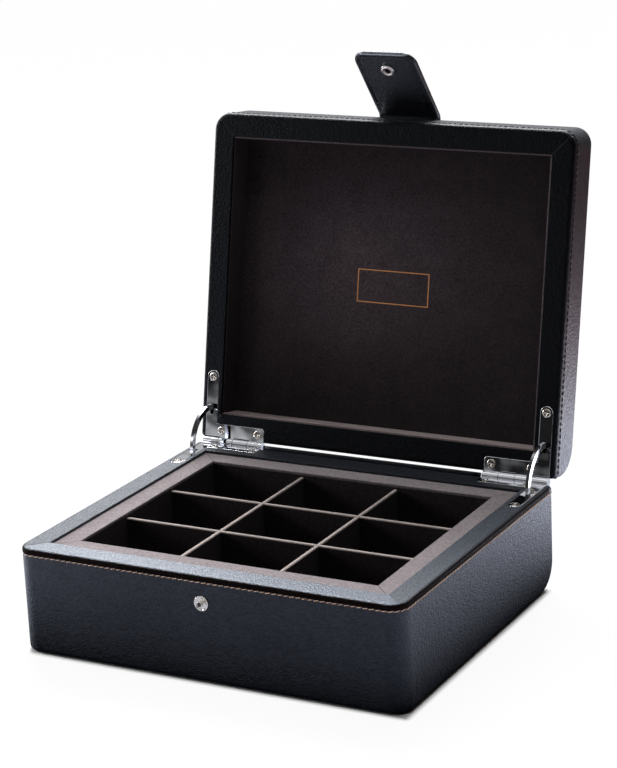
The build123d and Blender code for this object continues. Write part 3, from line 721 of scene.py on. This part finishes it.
# %% [markdown]
# ## The rear piping
# Behind the rear rim, a thin leather piping closes most of the slit between lid and base. In the
# photograph it is the dark line under the white slit. It lies so near the hinge pin's line that
# the lid turns round it, and it ends where the hinges' barrels start. It could be a plain rod, but
# light would show below it, so its profile has a sewn lip that runs down the wall.

# %% Rear piping
PIPING, PIPING_SIDES, PIPING_STEPS = 1.0 * MM, 16, 25
BEHIND_WALL, ABOVE_PIN, CLEAR_OF_LEAF = 1.1 * MM, 0.3 * MM, 1.0 * MM
PIPING_LIP = np.array([(-1.08, -0.6), (-1.08, -2.4), (-0.5, -2.2)]) * MM
piping_end = -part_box("lower_leaf_left")[1][0] - CLEAR_OF_LEAF
piping_line = np.full((PIPING_STEPS, 3), (0, HALF_DEPTH + BEHIND_WALL, PIN[2] + ABOVE_PIN))
piping_line[:, 0] = np.linspace(piping_end, -piping_end, PIPING_STEPS)
piping_turn = np.linspace(-pi / 4, pi, PIPING_SIDES)
piping_profile = np.vstack([PIPING * np.column_stack([np.cos(piping_turn), np.sin(piping_turn)]), PIPING_LIP])
rearwards = np.tile((0, 1.0, 0), (PIPING_STEPS, 1))
rear_piping = carried_along("rear_piping", piping_line, rearwards, piping_profile, rear_rim_leather)
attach(rear_piping, "base")
print("piping from", round(-piping_end, 4), "to", round(piping_end, 4))

# %% [markdown]
# ## Screw heads
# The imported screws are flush. A real head has a raised rim and a cross that the driver fits,
# which catches the light as a bright ring round a dark middle. A bump would not show from the
# side, so the shape is a disc in polar steps, whose height is a low dome less the cross.

# %% Screw heads
RADII = np.array([0.0, 0.35, 0.7, 1.0, 1.25, 1.5, 1.75, 2.1, 2.38, 2.46])
HEAD_SIDES, RECESS_RINGS = 32, 5
DOME, DISH, DISH_RADIUS = 0.14, 0.2, 1.75
CROSS_DEPTH, CROSS_HALF, CROSS_REACH, CROSS_FLANK, CROSS_END = 0.55, 0.42, 1.5, 0.16, 0.25
RIM_SINK = 0.1


def screw_head(name, centres, across, along, out, body):
    """Screw heads on a plane, in millimetres from each centre.

    The height at radius r is 0.14 (1 - (r/2.46)^4), less a dish that deepens to 0.2 at the middle
    and a cross 0.55 deep. The rim of the disc is just under the plane.
    """
    theta, r = np.arange(HEAD_SIDES) * 2 * pi / HEAD_SIDES, RADII[:, None]
    x, y = r * np.cos(theta), r * np.sin(theta)
    dome = DOME * (1 - (r / RADII[-1]) ** 4) - DISH * np.clip(1 - r / DISH_RADIUS, 0, 1)
    off_arm = np.minimum(np.abs(x), np.abs(y))
    cross = np.clip((CROSS_HALF - off_arm) / CROSS_FLANK, 0, 1) * np.clip((CROSS_REACH - r) / CROSS_END, 0, 1)
    height = (dome - CROSS_DEPTH * cross) * MM
    height[-1] = -RIM_SINK * MM
    disc = x[..., None] * across * MM + y[..., None] * along * MM + height[..., None] * out
    points = np.array(centres)[:, None, None] + disc[None]
    first_points = np.arange(len(centres)) * RADII.size * HEAD_SIDES
    faces = (tube_faces(RADII.size, HEAD_SIDES) + first_points[:, None, None]).reshape(-1, 4)
    floor_ring = np.arange(HEAD_SIDES)[::-1] + (RADII.size - 1) * HEAD_SIDES
    floors = (floor_ring + first_points[:, None]).tolist()
    head = piece_from(name, points, faces.tolist() + floors, screw_steel)
    in_recess = np.arange(len(faces)) % ((RADII.size - 1) * HEAD_SIDES) < RECESS_RINGS * HEAD_SIDES
    # The recess takes the dark metal: painted shade.
    two_finished(head, screw_recess, np.append(in_recess, [False] * len(floors)))
    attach(head, body)


LEAF_OUT, LEAF_MIDDLE, LEAF_IN, LEAF_FRONT_Y, LEAF_REAR_Y = 103.25, 96.2, 72.7, 57.75, 88.4
screw_xy = np.array([(-LEAF_OUT, LEAF_FRONT_Y), (-LEAF_MIDDLE, LEAF_REAR_Y), (-LEAF_IN, LEAF_REAR_Y)])
screw_xy = np.vstack([screw_xy, screw_xy * (-1, 1)]) * MM
lower_places = np.column_stack([screw_xy, np.full(len(screw_xy), RIM_TOP)])
upper_places = opened(np.column_stack([screw_xy, np.full(len(screw_xy), LID_RIM)]))
x_way, y_way, z_way = np.eye(3)
screw_head("lower_screw_heads", lower_places, x_way, y_way, z_way, "base")
screw_head("upper_screw_heads", upper_places, x_way, opened_way(y_way), opened_way(-z_way), "lid")

# %% [markdown]
# ## The snap's stud
# The stud is turned: a disc with a rolled rim and a dish, and a post whose tip is rolled in, as
# a riveted tip is. The hollow in the tip shows as a dark eye. It could be cut from cylinders, but
# its rolled edges are what glints, so a profile of (radius, height) pairs is carried round its axis.

# %% Snap stud
STUD_PROFILE_MM = [
    (0.0, -8.0), (1.2, -8.0), (1.2, 0.0), (4.0, 0.0), (4.05, 0.3), (4.0, 0.55), (3.85, 0.7), (3.65, 0.74),
    (3.4, 0.66), (3.1, 0.44), (2.7, 0.32), (1.7, 0.32), (1.5, 0.45), (1.42, 0.8), (1.42, 1.25), (1.55, 1.5),
    (1.6, 1.85), (1.55, 2.1), (1.38, 2.25), (1.2, 2.2), (1.0, 2.05), (0.92, 1.85), (0.8, 1.7), (0.0, 1.65),
]
STUD_SIDES, TIP_RINGS = 40, 4
stud_low, stud_high = (np.array(corner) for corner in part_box("snap_stud"))
stud_middle = np.array([(stud_low[0] + stud_high[0]) / 2, -HALF_DEPTH, (stud_low[2] + stud_high[2]) / 2])
radii, heights = np.array(STUD_PROFILE_MM).T[:, :, None] * MM
stud_turn = np.arange(STUD_SIDES) * 2 * pi / STUD_SIDES
stud_points = np.stack([radii * np.cos(stud_turn), -heights + 0 * stud_turn, radii * np.sin(stud_turn)], axis=-1)
stud_faces = tube_faces(len(radii), STUD_SIDES)
stud = piece_from("turned_stud", stud_middle + stud_points, stud_faces, nickel)
# The tip's hollow takes the dark metal: painted shade.
two_finished(stud, tip_nickel, np.arange(len(stud_faces)) >= (len(radii) - 1 - TIP_RINGS) * STUD_SIDES)
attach(stud, "base")
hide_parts("snap_stud")

# %% [markdown]
# ## The strap
# One strip of leather is sewn to the lid, folds over its front edge and becomes the snap tab. It
# is one sheet in the real box, so it is one mesh here, bent round the fold.
# Two hinged plates would show a gap. Its middle line runs straight on the lid, round the fold's
# axis, and straight again. The imported socket says how far along that line the snap sits.

# %% The strap's line
FOLD = np.array(joints["tab_fold"]["pos_m"])
TAB_SET = radians(50)
STRAP_HALF, STRAP_TIP, STRAP_THICK = 18.75 * MM, 8 * MM, 2.6 * MM
FOLD_INSIDE = 3 * MM
FOLD_MIDDLE = FOLD_INSIDE + STRAP_THICK / 2
FOLD_RUN = FOLD_MIDDLE * TAB_SET
ANCHOR_RUN, TAB_RUN = 45 * MM, 49.6 * MM
SEWN_IN, SEWN_DEEP, SEWN_WIDE = 2.7 * MM, 0.28 * MM, 0.5 * MM
shut_fold = turned_about_x(FOLD, PIN, LID_ANGLE)
middle_s = (TAB_RUN + FOLD_RUN - ANCHOR_RUN) / 2
half_s = (TAB_RUN + FOLD_RUN + ANCHOR_RUN) / 2


def strap_place(x, s, h):
    """A point of the strap on the open box, from its place across, along and through the strip.

    Before s = 0 the middle line is straight. It then turns by s over the fold's radius up to
    the tab's set, and goes on straight from there.
    """
    angle = np.clip(s, 0, FOLD_RUN) / FOLD_MIDDLE
    before, after = np.minimum(s, 0), np.maximum(s - FOLD_RUN, 0)
    y = shut_fold[1] - (FOLD_MIDDLE + h) * np.sin(angle) - before - after * np.cos(angle)
    z = shut_fold[2] + (FOLD_MIDDLE + h) * np.cos(angle) - after * np.sin(angle)
    return opened(np.stack([x, y, z], axis=-1))


# The socket's axis is the way in which its points vary least, and points out of the tab's inner face.
socket = nodes["snap_socket"]
socket_points = np.array([socket.matrix_world @ vertex.co for vertex in socket.data.vertices])
socket_middle = (socket_points.min(axis=0) + socket_points.max(axis=0)) / 2
thinnest = np.linalg.svd(socket_points - socket_points.mean(axis=0), full_matrices=False)[2][2]
socket_axis = thinnest * -np.sign(thinnest[2])
tries_s = np.linspace(FOLD_RUN, TAB_RUN, 2000)
off_by = strap_place(0 * tries_s, tries_s, 0 * tries_s - STRAP_THICK / 2) - socket_middle
SOCKET_S = tries_s[np.linalg.norm(off_by, axis=1).argmin()]
print("socket", socket_middle.round(4), "axis", socket_axis.round(3), "along the strap", round(SOCKET_S, 4))

# %% [markdown]
# ## The strap as a sheet
# Solidify could thicken one sheet evenly. This leather isn't even: it rounds off at its edge, dips
# where it is sewn, and opens into a well for the snap's socket. So it is two grids, an outer and
# an inner face, that share their border, with a thickness worked out for every point.


# %% The strap's sheet
def spread(low, high, count, crowd=1.0):
    """Numbers from low to high, closer together near both ends: a blend of even steps and a cosine."""
    even = np.linspace(0, 1, count)
    return low + (high - low) * ((1 - crowd) * even + crowd * (1 - np.cos(pi * even)) / 2)


def inside_outline(x, y, half_x, half_y, corner):
    """How far a point is inside a rounded rectangle, from the usual signed distance of that shape."""
    qx, qy = np.abs(x) - half_x + corner, np.abs(y) - half_y + corner
    outside = np.hypot(np.maximum(qx, 0), np.maximum(qy, 0)) + np.minimum(np.maximum(qx, qy), 0)
    return np.maximum(corner - outside, 0)


def drawn_in(u, beyond, half, corner):
    """Across a grid's row, u times the outline's half width at that place up a rounded corner."""
    up = np.clip(beyond + corner, 0, corner)
    return u * (half - corner + np.sqrt(corner**2 - up**2))


def rounded_over(inside, edge):
    """A quarter circle's height: sqrt(1 - (1 - t)^2), where t goes from 0 at the outline to 1 at the edge's width."""
    return np.sqrt(np.clip(1 - (1 - np.clip(inside / edge, 0, 1)) ** 2, 0, 1))


def two_sided(columns, rows):
    """Faces of an upper and a lower grid of rows x columns points that share their border.

    The lower grid's points follow the upper grid's, and it is wound the other way.
    """
    index = np.arange(rows * columns).reshape(rows, columns)
    lower = index + rows * columns
    lower[0], lower[-1], lower[:, 0], lower[:, -1] = index[0], index[-1], index[:, 0], index[:, -1]
    upper_faces = np.stack([index[:-1, :-1], index[:-1, 1:], index[1:, 1:], index[1:, :-1]], axis=-1)
    lower_faces = np.stack([lower[:-1, :-1], lower[1:, :-1], lower[1:, 1:], lower[:-1, 1:]], axis=-1)
    return np.vstack([upper_faces.reshape(-1, 4), lower_faces.reshape(-1, 4)])


def only_used(points, faces):
    """The points that the faces use, the faces numbered to match, and which points they were."""
    used, numbered = np.unique(faces, return_inverse=True)
    return points.reshape(-1, 3)[used], numbered.reshape(faces.shape), used


print("the strap is", round(2e3 * half_s, 1), "mm long along its middle")

# %% [markdown]
# ## The strap's mesh
# Its points are spaced by need. Rows crowd at both ends, at the fold and at the well, where the
# surface curves, and are wide apart on the flat. The flat strap's own measures become its map, in
# metres, so that the leather's grain keeps its real size round the bend.

# %% The strap's mesh
EVEN_COLUMNS, EVEN_ROWS, FOLD_ROWS, WELL_STEPS = 41, 120, 30, 15
EDGE_WIDTH, FOLD_MARGIN, BEND_MARGIN = 1.1 * MM, 0.6 * MM, 1 * MM
WELL_WALL, WELL_LIP, WELL_FLOOR, WELL_REACH = 2.7 * MM, 3.9 * MM, 0.45 * MM, 4.2 * MM
# Rounding the places merges rows and columns that nearly meet, which would leave slivers.
near_well = np.linspace(-WELL_REACH, WELL_REACH, WELL_STEPS)
near_fold = np.linspace(-FOLD_MARGIN, FOLD_RUN + FOLD_MARGIN, FOLD_ROWS)
row_places = [spread(-1, 1, EVEN_ROWS), (near_fold - middle_s) / half_s, (SOCKET_S + near_well - middle_s) / half_s]
column_places = [spread(-1, 1, EVEN_COLUMNS, 0.9), near_well / STRAP_HALF]
strap_v = np.unique(np.concatenate(row_places).round(4))
strap_u = np.unique(np.concatenate(column_places).round(3))
grid_u, grid_v = np.meshgrid(strap_u, strap_v)
flat_s = grid_v * half_s
flat_x = drawn_in(grid_u, np.abs(flat_s) - half_s, STRAP_HALF, STRAP_TIP)
inside = inside_outline(flat_x, flat_s, STRAP_HALF, half_s, STRAP_TIP)
groove = SEWN_DEEP * np.exp(-(((inside - SEWN_IN) / SEWN_WIDE) ** 2))
from_socket = np.hypot(flat_x, flat_s + middle_s - SOCKET_S)
well = np.clip((WELL_LIP - from_socket) / (WELL_LIP - WELL_WALL), 0, 1)
half_thick = rounded_over(inside, EDGE_WIDTH) * (STRAP_THICK / 2 - groove)
upper = strap_place(flat_x, flat_s + middle_s, half_thick)
lower = strap_place(flat_x, flat_s + middle_s, -half_thick + well * (half_thick + WELL_FLOOR))
strap_sheets = only_used(np.stack([upper, lower]), two_sided(len(strap_u), len(strap_v)))
strap = piece_from("snap_strap", *strap_sheets[:2], strap_leather)
flat = np.stack([np.stack([flat_x, flat_s], axis=-1)] * 2).reshape(-1, 2)[strap_sheets[2]]
corner_points = np.zeros(len(strap.data.loops), np.int32)
strap.data.loops.foreach_get("vertex_index", corner_points)
flat_map = strap.data.uv_layers.new(name="flat_strap")
flat_map.data.foreach_set("uv", flat[corner_points].astype(np.float32).ravel())
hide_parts("tab_anchor", "tab_fold_core", "tab_lining", "tab_stiffener", "tab_leather")
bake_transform(strap)

# %% [markdown]
# ## The strap's edge highlight
# A strap's cut edge is painted, and it rounds over, so it catches the light as a pale line inside its
# outline, most of all at the tab's tip. A second mesh for a line so thin would cost more than it shows,
# so the line is a painted highlight, toned along the outline of the flat strap, which its map gives in metres.


# %% Edge highlight
def edge_highlight(material, tone):
    """Paint a highlight into the leather near the strap's outline, where its edge catches the light.

    The tone starts 1.3 mm inside the outline, is full at 0.9 mm, and falls to 0.15 of that from
    0.5 to 0.25 mm, where the edge turns down. It is 0.12 as strong until 1.5 mm from the tip.
    """
    tree, shader = parts_of(material)
    across, along, _ = add(tree, "SeparateXYZ", [add(tree, "TexCoord").outputs["UV"]]).outputs
    past = []
    for way, half in ((across, STRAP_HALF), (along, half_s)):
        past.append(add(tree, "Math", [add(tree, "Math", [way], operation="ABSOLUTE"), half], operation="SUBTRACT"))
    outline = add(tree, "Math", past, operation="MAXIMUM")
    share = add(tree, "MapRange", [outline, -1.3 * MM, -0.9 * MM])
    turned_down = add(tree, "MapRange", [outline, -0.5 * MM, -0.25 * MM, 1.0, 0.15])
    at_tip = add(tree, "MapRange", [along, half_s - 1.5 * MM, half_s, 0.12, 1.0])
    for factor in (turned_down, at_tip):
        share = add(tree, "Math", [share, factor], operation="MULTIPLY")
    mixed = add(tree, "Mix", {0: share, 6: tone_of(shader), 7: colour(tone)}, data_type="RGBA")
    feed(shader, {"Base Color": mixed.outputs[2]})


# The pale tone is a painted highlight, strongest at the tab's tip.
edge_highlight(strap_leather, "#d4dae2")
print("edge toned along", round(4 * (STRAP_HALF + half_s), 3), "m of outline")

# %% [markdown]
# ## The strap's stitches
# Black stitches run round both faces of the strap in its groove. They have to bend with it, so
# they lie on the same line function as the strap. The inner row starts
# and ends where the strap leaves the lid, because the rest of it is glued down.

# %% Strap stitches
SAMPLES = 600
FREE_OF_FOLD = 2 * MM
sewn_path, _ = loop_round(
    STRAP_HALF - SEWN_IN, -half_s + SEWN_IN, half_s - SEWN_IN, STRAP_TIP - SEWN_IN, STRAP_TIP - SEWN_IN, 0.0
)
sewn_path = np.vstack([sewn_path, sewn_path[:1]])
lengths = walked(sewn_path)
flat_path = at(np.linspace(0, lengths[-1], SAMPLES), lengths, sewn_path[:, :2])[:-1]


def sewn(name, flat_path, side, closed):
    """A row of stitches on one face of the strap: side is 1 for the outer face and -1 for the inner."""
    x, s = flat_path[:, 0], flat_path[:, 1] + middle_s
    surface = strap_place(x, s, side * (STRAP_THICK / 2 - SEWN_DEEP))
    beyond = strap_place(x, s, side * STRAP_THICK)
    size = {"pitch": 3.0 * MM, "length": 2.6 * MM, "width": 0.6 * MM}
    row = stitch_row(name, surface, beyond - surface, black_thread, closed=closed, **size)
    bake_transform(row)


sewn("strap_stitches_outer", flat_path, 1, True)
on_tab = np.roll(flat_path, -int(np.argmin(flat_path[:, 1])), axis=0)
on_tab = on_tab[on_tab[:, 1] + middle_s > FOLD_RUN + FREE_OF_FOLD]
sewn("strap_stitches_inner", on_tab, -1, False)

# %% [markdown]
# ## Socket ring
# The snap's socket has a rolled ring, which catches the light all round. A torus primitive would
# have to be turned and moved, and a finished piece stays at the origin. So it is worked out in
# place, as a torus about the socket's axis that is 0.7 times as high as it is wide.

# %% Socket ring
RING_RADIUS, TUBE, FLATTENED, RING_SINK = 2.85 * MM, 0.95 * MM, 0.7, 0.35 * MM
RING_STEPS, TUBE_STEPS = 48, 16
ring_across = np.array((1.0, 0, 0))
ring_along = np.cross(socket_axis, ring_across)
reach = ((socket_points - socket_middle) @ socket_axis).max()
turns = (np.linspace(0, 2 * pi, steps, endpoint=False) for steps in (RING_STEPS, TUBE_STEPS))
turn_round, turn_tube = np.meshgrid(*turns, indexing="ij")
radial = np.cos(turn_round)[..., None] * ring_across + np.sin(turn_round)[..., None] * ring_along
ring_points = socket_middle + radial * (RING_RADIUS + TUBE * np.cos(turn_tube))[..., None]
ring_points += socket_axis * (reach - RING_SINK + FLATTENED * TUBE * np.sin(turn_tube))[..., None]
socket_ring = piece_from("socket_ring", ring_points, tube_faces(RING_STEPS, TUBE_STEPS, closed=True), satin_nickel)
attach(socket_ring, "tab")

# %% [markdown]
# ## The foil line
# The photograph has a thin gold-coloured rectangle, pressed in foil on the lid's suede. A pattern
# in the suede would need a rectangle's distance in nodes. A flat frame a little over half a
# millimetre wide is simpler, and its edges stay sharp.

# %% Foil line
PANEL = 2 * PIN[2] - 41 * MM
FOIL_WIDE, FOIL_PROUD, FOIL_SUNK = 0.55 * MM, 0.08 * MM, 0.1 * MM
foil_x, foil_y = np.array((-21.8, 22.4)) * MM, np.array((-10.2, 8.5)) * MM
foil_rings = []
for inset, rise in ((0, FOIL_SUNK), (0, -FOIL_PROUD), (FOIL_WIDE, -FOIL_PROUD), (FOIL_WIDE, FOIL_SUNK)):
    (x0, x1), (y0, y1) = foil_x + (inset, -inset), foil_y + (inset, -inset)
    foil_rings.append([(x, y, PANEL + rise) for x, y in ((x0, y0), (x1, y0), (x1, y1), (x0, y1))])
foil = piece_from("foil_line", opened(np.array(foil_rings)), tube_faces(4, 4, closed=True), gold_foil, smooth=False)
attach(foil, "lid")

# %% [markdown]
# ## Compartment pads
# Each compartment has a thin pad at the bottom, wrapped in the dark suede. It is flat below and
# crowned above, and its sides draw in a little between the corners. Cloth simulation could stuff
# it, but nine small pads that are seen from far need only the shape that stuffing ends at.

# %% Pads
PAD_GAP, PAD_CORNER, PAD_PULL, PAD_STEPS = 3.0 * MM, 4 * MM, 0.35 * MM, 29
PAD_UNDER, PAD_OVER, PAD_ROUNDING = 1.6 * MM, 2.0 * MM, 2.2 * MM
pads_low, pads_high = (np.array(corner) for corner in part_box("compartment_pads"))
pad_size = (pads_high[:2] - pads_low[:2] - 2 * PAD_GAP) / 3
pad_half = pad_size / 2
pad_u, pad_v = np.meshgrid(*[spread(-1, 1, PAD_STEPS, 0.85)] * 2)
square_x = drawn_in(pad_u, np.abs(pad_v) * pad_half[1] - pad_half[1], pad_half[0], PAD_CORNER)
square_y = pad_v * pad_half[1]
pad_x = square_x * (1 - PAD_PULL / pad_half[0] * (1 - pad_v**2))
pad_y = square_y * (1 - PAD_PULL / pad_half[1] * (1 - pad_u**2))
turned_over = rounded_over(inside_outline(square_x, square_y, *pad_half, PAD_CORNER), PAD_ROUNDING)
crown = (1 - pad_u**2) * (1 - pad_v**2) * (pads_high[2] - pads_low[2] - PAD_UNDER - PAD_OVER)
top_z = pads_low[2] + PAD_UNDER + turned_over * PAD_OVER + crown
low_z = pads_low[2] + PAD_UNDER * (1 - turned_over)
pad_sheets = np.stack([np.stack([pad_x, pad_y, z], axis=-1) for z in (top_z, low_z)])
pad_points, pad_faces, _ = only_used(pad_sheets, two_sided(PAD_STEPS, PAD_STEPS))
for column in range(3):
    for row in range(3):
        centre = pads_low[:2] + pad_half + (pad_size + PAD_GAP) * (column, row)
        pad = piece_from(f"pad_{column + 1}_{row + 1}", pad_points + (*centre, 0), pad_faces, dark_suede)
        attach(pad, "base")
        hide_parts("compartment_pads")

# %% [markdown]
# ## Light
# The photograph was lit by a large softbox behind the box, which draws its pale rims and the
# sheen on the right wall, and by weaker ones above and on the left. A small one at the front left
# lifts the front wall, and a narrow snoot finds the snap's socket in the tab's shade. One even
# sky would be simpler, but then the black leather would lose its edges.

# %% Lamps
bpy.context.scene.view_settings.view_transform = "Standard"


def hung(name, lamp, place, aim):
    """Hang a lamp at a place, turned to face a point."""
    holder = in_scene(name, lamp)
    holder.location = place
    holder.rotation_euler = (Vector(aim) - Vector(place)).to_track_quat("-Z", "Y").to_euler()
    print(name, "of", round(lamp.energy, 1), "W at", place)


def softbox(name, place, aim, size, power):
    """A rectangular lamp, of a size in metres and a power in watts."""
    lamp = bpy.data.lights.new(name, "AREA")
    lamp.shape = "RECTANGLE"
    lamp.size, lamp.size_y = size
    lamp.energy = power
    hung(name, lamp, place, aim)


softbox("back_softbox", (-0.45, 0.9, 1.1), (0, 0, 0.05), (1.1, 0.9), 46)
softbox("top_softbox", (0.05, 0.0, 1.5), (0, 0, 0.1), (0.7, 0.5), 6)
snoot = bpy.data.lights.new("snoot", "SPOT")
snoot.energy, snoot.spot_size, snoot.spot_blend, snoot.shadow_soft_size = 14.0, radians(1.1), 0.6, 0.02
hung("snoot", snoot, (-0.35, -0.75, 0.16), socket_middle)
softbox("left_softbox", (-1.3, 0.0, 0.4), (0, 0, 0.05), (0.5, 0.6), 12)
softbox("front_left_softbox", (-0.95, -1.0, 0.42), (-0.1, -0.09, 0.03), (0.3, 0.3), 1.3)

# %% [markdown]
# ## The studio round the box
# The camera sees plain white. Leather sees a dim room that is bright behind the box, so its walls
# stay dark. A mirror sees the studio itself, with pale walls, a dark gap and beams of light, and
# that is what makes chrome look like chrome. One world can't be all three, so Light Path parts them.

# %% World
world = bpy.data.worlds.new("studio")
bpy.context.scene.world = world
world.use_nodes = True
sky = world.node_tree
sky_rays = add(sky, "LightPath").outputs
sky_x, sky_y, sky_z = add(sky, "SeparateXYZ", [add(sky, "TexCoord").outputs["Generated"]]).outputs
# The room as leather sees it is bright behind, dim to the right, and dimmer low down.
room = add(sky, "MapRange", [sky_y, -0.15, 0.4, 0.03, 0.95])
for part in ([sky_x, 0.0, 0.4, 1.0, 0.12], [sky_z, -0.05, 0.25, 0.3, 1.0]):
    room = add(sky, "Math", [room, add(sky, "MapRange", part)], operation="MULTIPLY")
# The studio as a mirror sees it is pale below and above, with a dark wall between them.
tilt = add(sky, "Math", [sky_x, 0.15, sky_z], operation="MULTIPLY_ADD")
wall_stops = [(0.0, "#e8eaee"), (0.472, "#c4ccd4"), (0.48, "#a4b0bc"), (0.488, "#5a6068"), (0.496, "#241c1e")]
beam_stops = [(0.57, "#2a2b30"), (0.6, "#c8d0d8"), (0.62, "#b8c0c8"), (0.634, "#3a3c40"), (0.66, "#3a3c40")]
roof_stops = [(0.68, "#f0f2f6"), (0.73, "#f0f2f6"), (0.74, "#34363a"), (0.79, "#34363a"), (0.8, "#ffffff")]
roof_stops += [(0.83, "#ffffff"), (0.845, "#6c7076"), (0.875, "#6c7076"), (0.885, "#ffffff")]
from_below = add(sky, "MapRange", [tilt, -1.0, 1.0])
studio = add(sky, "ValToRGB", [from_below], stops=wall_stops + beam_stops + roof_stops)
lit = add(sky, "Mix", {0: sky_rays["Is Singular Ray"], 2: room, 3: studio}, data_type="FLOAT")
lit = add(sky, "Mix", {0: sky_rays["Is Camera Ray"], 2: lit, 3: 1.0}, data_type="FLOAT")
# On the right a warm brown bounces back on the leather, and only on that.
brown = add(sky, "Math", [add(sky, "MapRange", [sky_x, 0.1, 0.45]), 0.8], operation="MULTIPLY")
direct = add(sky, "Math", [sky_rays["Is Camera Ray"], sky_rays["Is Singular Ray"]], operation="MAXIMUM")
brown = add(sky, "Mix", {0: direct, 2: brown, 3: 0.0}, data_type="FLOAT")
sky_tone = add(sky, "Mix", {0: brown, 6: (1, 1, 1, 1), 7: colour("#a87f6c")}, data_type="RGBA").outputs[2]
feed(sky.nodes["Background"], {"Strength": lit, "Color": sky_tone})
print("studio of", len(wall_stops + beam_stops + roof_stops), "bands")

# %% [markdown]
# ## The floor
# The box stands on white paper. Paper bright enough to look white would light the walls from
# below, as it doesn't in the photograph. So the camera sees it white with the box's own shadow,
# and glossy leather and chrome see a glow that starts a little away from the box and fades.

# %% Floor
FLOOR_HALF = 4
floor_mesh = bpy.data.meshes.new("floor")
floor_corners = [(x * FLOOR_HALF, y * FLOOR_HALF, 0) for x, y in ((-1, -1), (1, -1), (1, 1), (-1, 1))]
floor_mesh.from_pydata(floor_corners, [], [(0, 1, 2, 3)])
floor = in_scene("floor", floor_mesh)
paper, tree, shader = new_material("white_paper")
feed(shader, {"Base Color": colour("#f2f2f2"), "Roughness": 0.9})
rays = add(tree, "LightPath").outputs
place = add(tree, "TexCoord").outputs["Object"]
# The distance from the box's foot is the length of max(|place| - half size, 0).
beyond = add(tree, "VectorMath", [place], operation="ABSOLUTE")
beyond = add(tree, "VectorMath", [beyond, (HALF_WIDTH, HALF_DEPTH, 0)], operation="SUBTRACT")
beyond = add(tree, "VectorMath", [beyond, (0, 0, 0)], operation="MAXIMUM")
distance = add(tree, "VectorMath", [beyond], operation="LENGTH").outputs["Value"]
floor_x, floor_y, _ = add(tree, "SeparateXYZ", [place]).outputs
# What gloss sees grows brighter from 12 to 120 mm away, more so to the right, left and rear, then fades.
# The glow stands in for lit paper, and its dim band close to the box is painted shadow.
to_right = add(tree, "MapRange", [floor_x, 0.1, 0.2, 1.0, 1.7])
to_left = add(tree, "MapRange", [floor_x, -0.06, -0.26, 1.0, 1.8])
to_rear = add(tree, "Math", [add(tree, "MapRange", [floor_y, 0.05, 0.3]), to_right], operation="MULTIPLY")
to_rear = add(tree, "Math", [to_rear, 2.3, 0.3], operation="MULTIPLY_ADD")
to_rear = add(tree, "Math", [to_rear, 1.0], operation="MAXIMUM")
fading = add(tree, "MapRange", [distance, 260 * MM, 520 * MM, 1.0, 0.04])
glow = add(tree, "MapRange", [distance, 12 * MM, 120 * MM, 0.0, 1.3])
for share in (to_right, to_left, to_rear, fading):
    glow = add(tree, "Math", [glow, share], operation="MULTIPLY")
glow = add(tree, "Mix", {0: rays["Is Singular Ray"], 2: glow, 3: 0.85}, data_type="FLOAT")
# Far from the box it turns a warm brown too, a painted reflection of the room, but not in a mirror.
painted_brown_reflection = add(tree, "MapRange", [distance, 260 * MM, 480 * MM])
painted_brown_reflection = add(tree, "Mix", {0: rays["Is Singular Ray"], 2: painted_brown_reflection, 3: 0.0}, data_type="FLOAT")
floor_tone = add(tree, "Mix", {0: painted_brown_reflection, 6: (0.84, 0.88, 1, 1), 7: colour("#b8735a")}, data_type="RGBA").outputs[2]
seen_in_gloss = add(tree, "Emission", {"Color": floor_tone, "Strength": glow})
# The camera sees white paper, with more of the shadow left close to the box.
white = add(tree, "Emission", {"Color": (1, 1, 1, 1), "Strength": 1.0})
clear_of_box = add(tree, "MapRange", [distance, 0.0, 3.5 * MM, 0.0, 0.94])
open_floor = add(tree, "MapRange", [distance, 30 * MM, 200 * MM, 0.0, 0.05])
clear_of_box = add(tree, "Math", [clear_of_box, open_floor], operation="ADD")
seen_by_camera = add(tree, "MixShader", [clear_of_box, shader, white])
look = add(tree, "MixShader", [rays["Is Camera Ray"], seen_in_gloss, seen_by_camera])
feed(tree.nodes["Material Output"], {"Surface": look})
floor_mesh.materials.append(paper)
